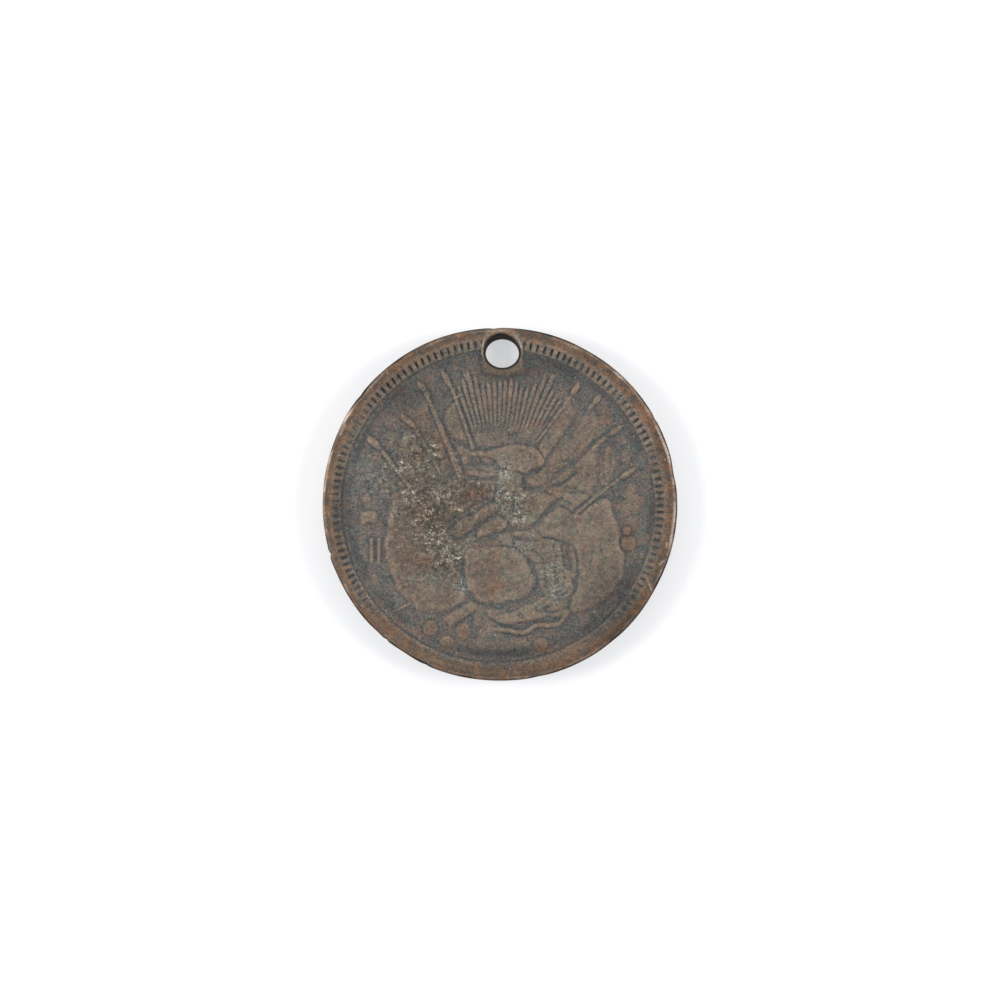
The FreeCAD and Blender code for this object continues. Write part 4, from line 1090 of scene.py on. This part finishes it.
def struck_copper():
    """Old copper: brown where it stands up, blue-grey patina and painted shade in the hollows, painted
    highlights on raised edges and along the rim's edge, painted shade on the hole's wall and the edge, green
    crust in specks.
    """
    s = Shader("struck_copper")
    coarse = s.noise(0.33, 5, 0.6)
    patches = s.noise(1.0, 6, 0.65)
    mottle = s.noise(2.6, 6, 0.75)
    grain = s.noise(6.5, 3, 0.65)
    speckle = s.noise(4.4, 4, 0.8, 0.6)
    tint = s.noise(1.5, 8, 0.85)
    hollow = s.mark("hollow")
    rim = s.mark("rim")
    relief = s.mark("relief")
    lift = s.sum((relief, 0.75), (patches, 1.3), (mottle, 1.1), (hollow, -0.6), (-1.22, 1))
    bare = s.span(lift, 0.08, 0.8)
    patina = s.mix(s.span(mottle, 0.4, 0.6), PATINA_BLUE, PATINA_GREY)
    patina = s.mix(s.span(patches, 0.42, 0.6), patina, PATINA_BROWN)
    metal = s.mix(s.span(mottle, 0.38, 0.62), COPPER_DARK, COPPER_BROWN)
    metal = s.mix(s.span(coarse, 0.42, 0.6), metal, COPPER_OLIVE)
    edge = s.mix(s.span(patches, 0.36, 0.64), RIM_DARK, RIM_BROWN)
    edge = s.mix(s.span(tint, 0.5, 0.66), edge, RIM_ORANGE)
    metal = s.mix(s.times(rim, 0.92), metal, edge)
    colour = s.mix(bare, patina, metal)
    colour = s.mix(s.times(s.mark("bloom"), s.span(mottle, 0.38, 0.58, 0.1, 0.95)), colour, BLOOM_GREY)
    colour = s.mix(s.span(tint, 0.53, 0.63, 0.0, 0.6), colour, TINT_RED)
    colour = s.mix(s.span(tint, 0.47, 0.38, 0.0, 0.7), colour, TINT_GREEN)
    colour = s.mix(s.span(s.noise(2.4, 5, 0.75), 0.56, 0.66, 0.0, 0.5), colour, TINT_PURPLE)
    colour = s.mix(s.times(s.mark("rust"), s.span(patches, 0.35, 0.6, 0.15, 0.7)), colour, RUST)
    rough_skin = s.mark("rough_skin")
    colour = s.mix(s.times(rough_skin, s.span(mottle, 0.42, 0.56, 0.8, 0.1)), colour, CRUST_DARK)
    # Raised edges are lightened: rubbed copper and a painted highlight.
    rubbed_and_painted_highlight = s.times(s.mark("proud"), s.span(mottle, 0.35, 0.6, 0.1, 0.75))
    colour = s.mix(rubbed_and_painted_highlight, colour, COPPER_RUBBED_AND_HIGHLIT)
    # Hollows are darkened towards the groove colour: dark patina, deepened with painted shade.
    uneven_patina_and_shade = s.span(s.sum((coarse, 1), (patches, 1), (rim, 0.4)), 0.85, 1.12, 0.4, 1.0)
    sunk = s.times(s.span(hollow, 0.2, 1.0, 0.0, 0.82), uneven_patina_and_shade)
    colour = s.mix(sunk, colour, GROOVE)
    # Painted highlight along the rim's edge, with bare copper on burrs and scratches.
    bright = s.times(s.mark("bright"), s.span(mottle, 0.3, 0.6, 0.5, 1.0))
    colour = s.mix(bright, colour, COPPER_WEAR_AND_HIGHLIGHT)
    green = s.mark("verdigris")
    powder = s.times(green, s.span(s.noise(3.4, 5, 0.8), 0.48, 0.6, 0.0, 0.75))
    colour = s.mix(powder, colour, VERDIGRIS)
    calm = s.span(s.sum((relief, 1), (rough_skin, -1)), 0.2, 1.0, 1.0, 0.7)
    uneven = s.times(calm, s.sum((grain, 2.6), (speckle, 2.2), (patches, 0.9), (-2.85, 1)))
    dusk = s.span(s.mark("dusk"), 0.0, 1.0, 1.0, 0.62)
    colour = s.mix(1.0, colour, s.grey(s.times(dusk, s.sum((uneven, 1), (1, 1)))), "MULTIPLY")
    wander = s.noise(1.4, 3, 0.55, 1.5)
    off_line = s.absolute(s.sum((wander, 1), (-0.5, 1)))
    threads = s.times(s.mark("threads"), s.span(off_line, 0.008, 0.03, 1.0, 0.0))
    threads = s.times(threads, s.span(mottle, 0.5, 0.55, 0.0, 1.0))
    colour = s.mix(threads, colour, CRUST_THREAD)
    crumbs = s.span(s.mark("crumbs"), 0.3, 0.9, 0.0, 0.8)
    colour = s.mix(crumbs, colour, CRUST_WHITE)
    # Painted shade on the hole's wall, around the punched hollow and on the outer side of the edge.
    dirt = s.mark("dirt")
    colour = s.mix(s.times(dirt, s.span(mottle, 0.35, 0.6, 0.8, 1.0)), colour, PAINTED_SHADE_DARK)
    s.put(s.surface.inputs["Base Color"], colour)
    crust = s.sum((powder, 0.8), (crumbs, 0.8), (threads, 0.8))
    shine = s.sum((bare, 0.5), (rubbed_and_painted_highlight, 0.3), (bright, 0.5), (crust, -1))
    s.put(s.surface.inputs["Metallic"], s.span(shine, 0, 1, 0.0, 0.8))
    dull = s.sum((bare, -0.2), (bright, -0.3), (grain, 0.4), (crust, 0.3), (dirt, 1.0))
    s.put(s.surface.inputs["Roughness"], s.span(dull, -0.3, 0.5, 0.42, 0.95))
    s.surface.inputs["Specular IOR Level"].default_value = 0.3
    bump = s.tree.nodes.new("ShaderNodeBump")
    bump.inputs["Strength"].default_value = 0.8
    bump.inputs["Distance"].default_value = 0.03 * MM
    powdery = s.noise(18.0, 2, 0.5)
    s.put(bump.inputs["Height"], s.sum((grain, 0.8), (mottle, 1.2), (speckle, 0.8), (powdery, 0.2)))
    s.put(s.surface.inputs["Normal"], bump.outputs["Normal"])
    return s.material


GROUND_COLOUR = (0.4, 0.4, 0.402, 1)
GROUND_GLOW = (0.97, 0.98, 1, 1)
GLOW_STRENGTH = 0.53


def floor_material():
    """Pale paper that glows a little, as a sheet lit from all round does, so that it shows almost white."""
    material = bpy.data.materials.new("pale_ground")
    material.use_nodes = True
    surface = material.node_tree.nodes["Principled BSDF"]
    surface.inputs["Base Color"].default_value = GROUND_COLOUR
    surface.inputs["Roughness"].default_value = 0.9
    surface.inputs["Emission Color"].default_value = GROUND_GLOW
    surface.inputs["Emission Strength"].default_value = GLOW_STRENGTH
    return material


# ---------------------------------------------------------------- the token
FRONT_NODES = [
    "eagle_head", "eagle_wing", "eagle_feathers", "eagle_legs", "eagle_body", "shield_boss", "shield_ring",
    "round_shield", "cannon_barrel", "sash", "ribbon", "scroll", "left_lances", "right_lances", "left_drape",
    "right_drape", "left_trophy", "rolled_flag", "left_flags", "right_flags", "ammunition_box", "drumsticks",
    "sun_disc", "sun_rays", "ground", "clouds", "cannonballs", "front_hole_collar",
]
BACK_NODES = ["back_bow", "wreath_berries", "wreath_leaves", "wreath_stems", "back_hole_burr"]


def build_token():
    """The four closed pieces of the token, each standing for the CAD's nodes of its place."""
    copper = struck_copper()
    front = front_hole(border(front_relief(), FRONT_CENTRE, FRONT_WORN))
    front = weathered(front, FRONT_SPOTS, FRONT_SEED)
    back = back_hole(border(back_relief(), BACK_CENTRE, BACK_WORN))
    back = weathered(back, BACK_SPOTS, BACK_SEED)
    shared = smooth((0.3 - EDGE_GAP) / 0.2)
    for name in MARKS:
        back[name] = back[name] * (1 - shared) + front[name] * shared
    front_face = (front, 1, FRONT_CENTRE)
    back_face = (back, -1, BACK_CENTRE)
    plan = [
        ("front_field", field_piece, front_face, FRONT_NODES + ["blank"], "worn_copper"),
        ("front_rim_and_teeth", ring_piece, front_face, ["front_rim", "front_teeth"], "worn_copper"),
        ("back_field", field_piece, back_face, BACK_NODES, "patinated_copper"),
        ("back_rim_and_teeth", ring_piece, back_face, ["back_rim", "back_teeth"], "patinated_copper"),
    ]
    for name, build, (face, side, centre), nodes, slot in plan:
        piece = build(name, face, side, centre, copper)
        punch(piece)
        mark(piece, face)
        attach(piece, "root")
        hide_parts(*nodes)


# ---------------------------------------------------------------- ground, light and camera
FRAME_SHARE = 0.355
CAMERA_UP = 0.24
LENS = 100.0
SENSOR = 36.0
GROUND_SIZE = 4.0
GROUND_LEVEL = -0.005 * MM
WORLD_STRENGTH = 0.48
# Name, place in metres, size and watts.
LIGHTS = [
    ("top_light", (0.0, 0.42, 0.36), (0.5, 0.24), 0.7),
    ("left_light", (-0.46, 0.02, 0.3), (0.2, 0.2), 2.5),
    ("right_light", (0.46, 0.02, 0.3), (0.2, 0.2), 2.1),
]


def build_stage():
    """The pale ground, the even light all round, and the three lamps."""
    bpy.ops.mesh.primitive_plane_add(size=GROUND_SIZE, location=(0, 0, GROUND_LEVEL))
    ground = bpy.context.object
    ground.name = "pale_ground"
    ground.data.materials.append(floor_material())
    world = bpy.data.worlds.new("studio")
    world.use_nodes = True
    world.node_tree.nodes["Background"].inputs["Color"].default_value = (1, 1, 1, 1)
    world.node_tree.nodes["Background"].inputs["Strength"].default_value = WORLD_STRENGTH
    bpy.context.scene.world = world
    for name, place, size, power in LIGHTS:
        lamp = bpy.data.lights.new(name, "AREA")
        lamp.shape = "RECTANGLE"
        lamp.size, lamp.size_y = size
        lamp.energy = power
        light = bpy.data.objects.new(name, lamp)
        light.location = place
        way = -light.location
        light.rotation_euler = way.to_track_quat("-Z", "Y").to_euler()
        bpy.context.scene.collection.objects.link(light)


def build_camera():
    """A camera straight above the token."""
    camera_data = bpy.data.cameras.new("camera")
    camera_data.lens = LENS
    camera_data.sensor_width = SENSOR
    camera_data.clip_start = 0.01
    camera = bpy.data.objects.new("camera", camera_data)
    distance = 20 * UNIT / FRAME_SHARE * LENS / SENSOR
    camera.location = (0, CAMERA_UP * UNIT, TOP + distance)
    bpy.context.scene.collection.objects.link(camera)
    bpy.context.scene.camera = camera
    bpy.context.scene.view_settings.view_transform = "Standard"


build_token()
build_stage()
build_camera()
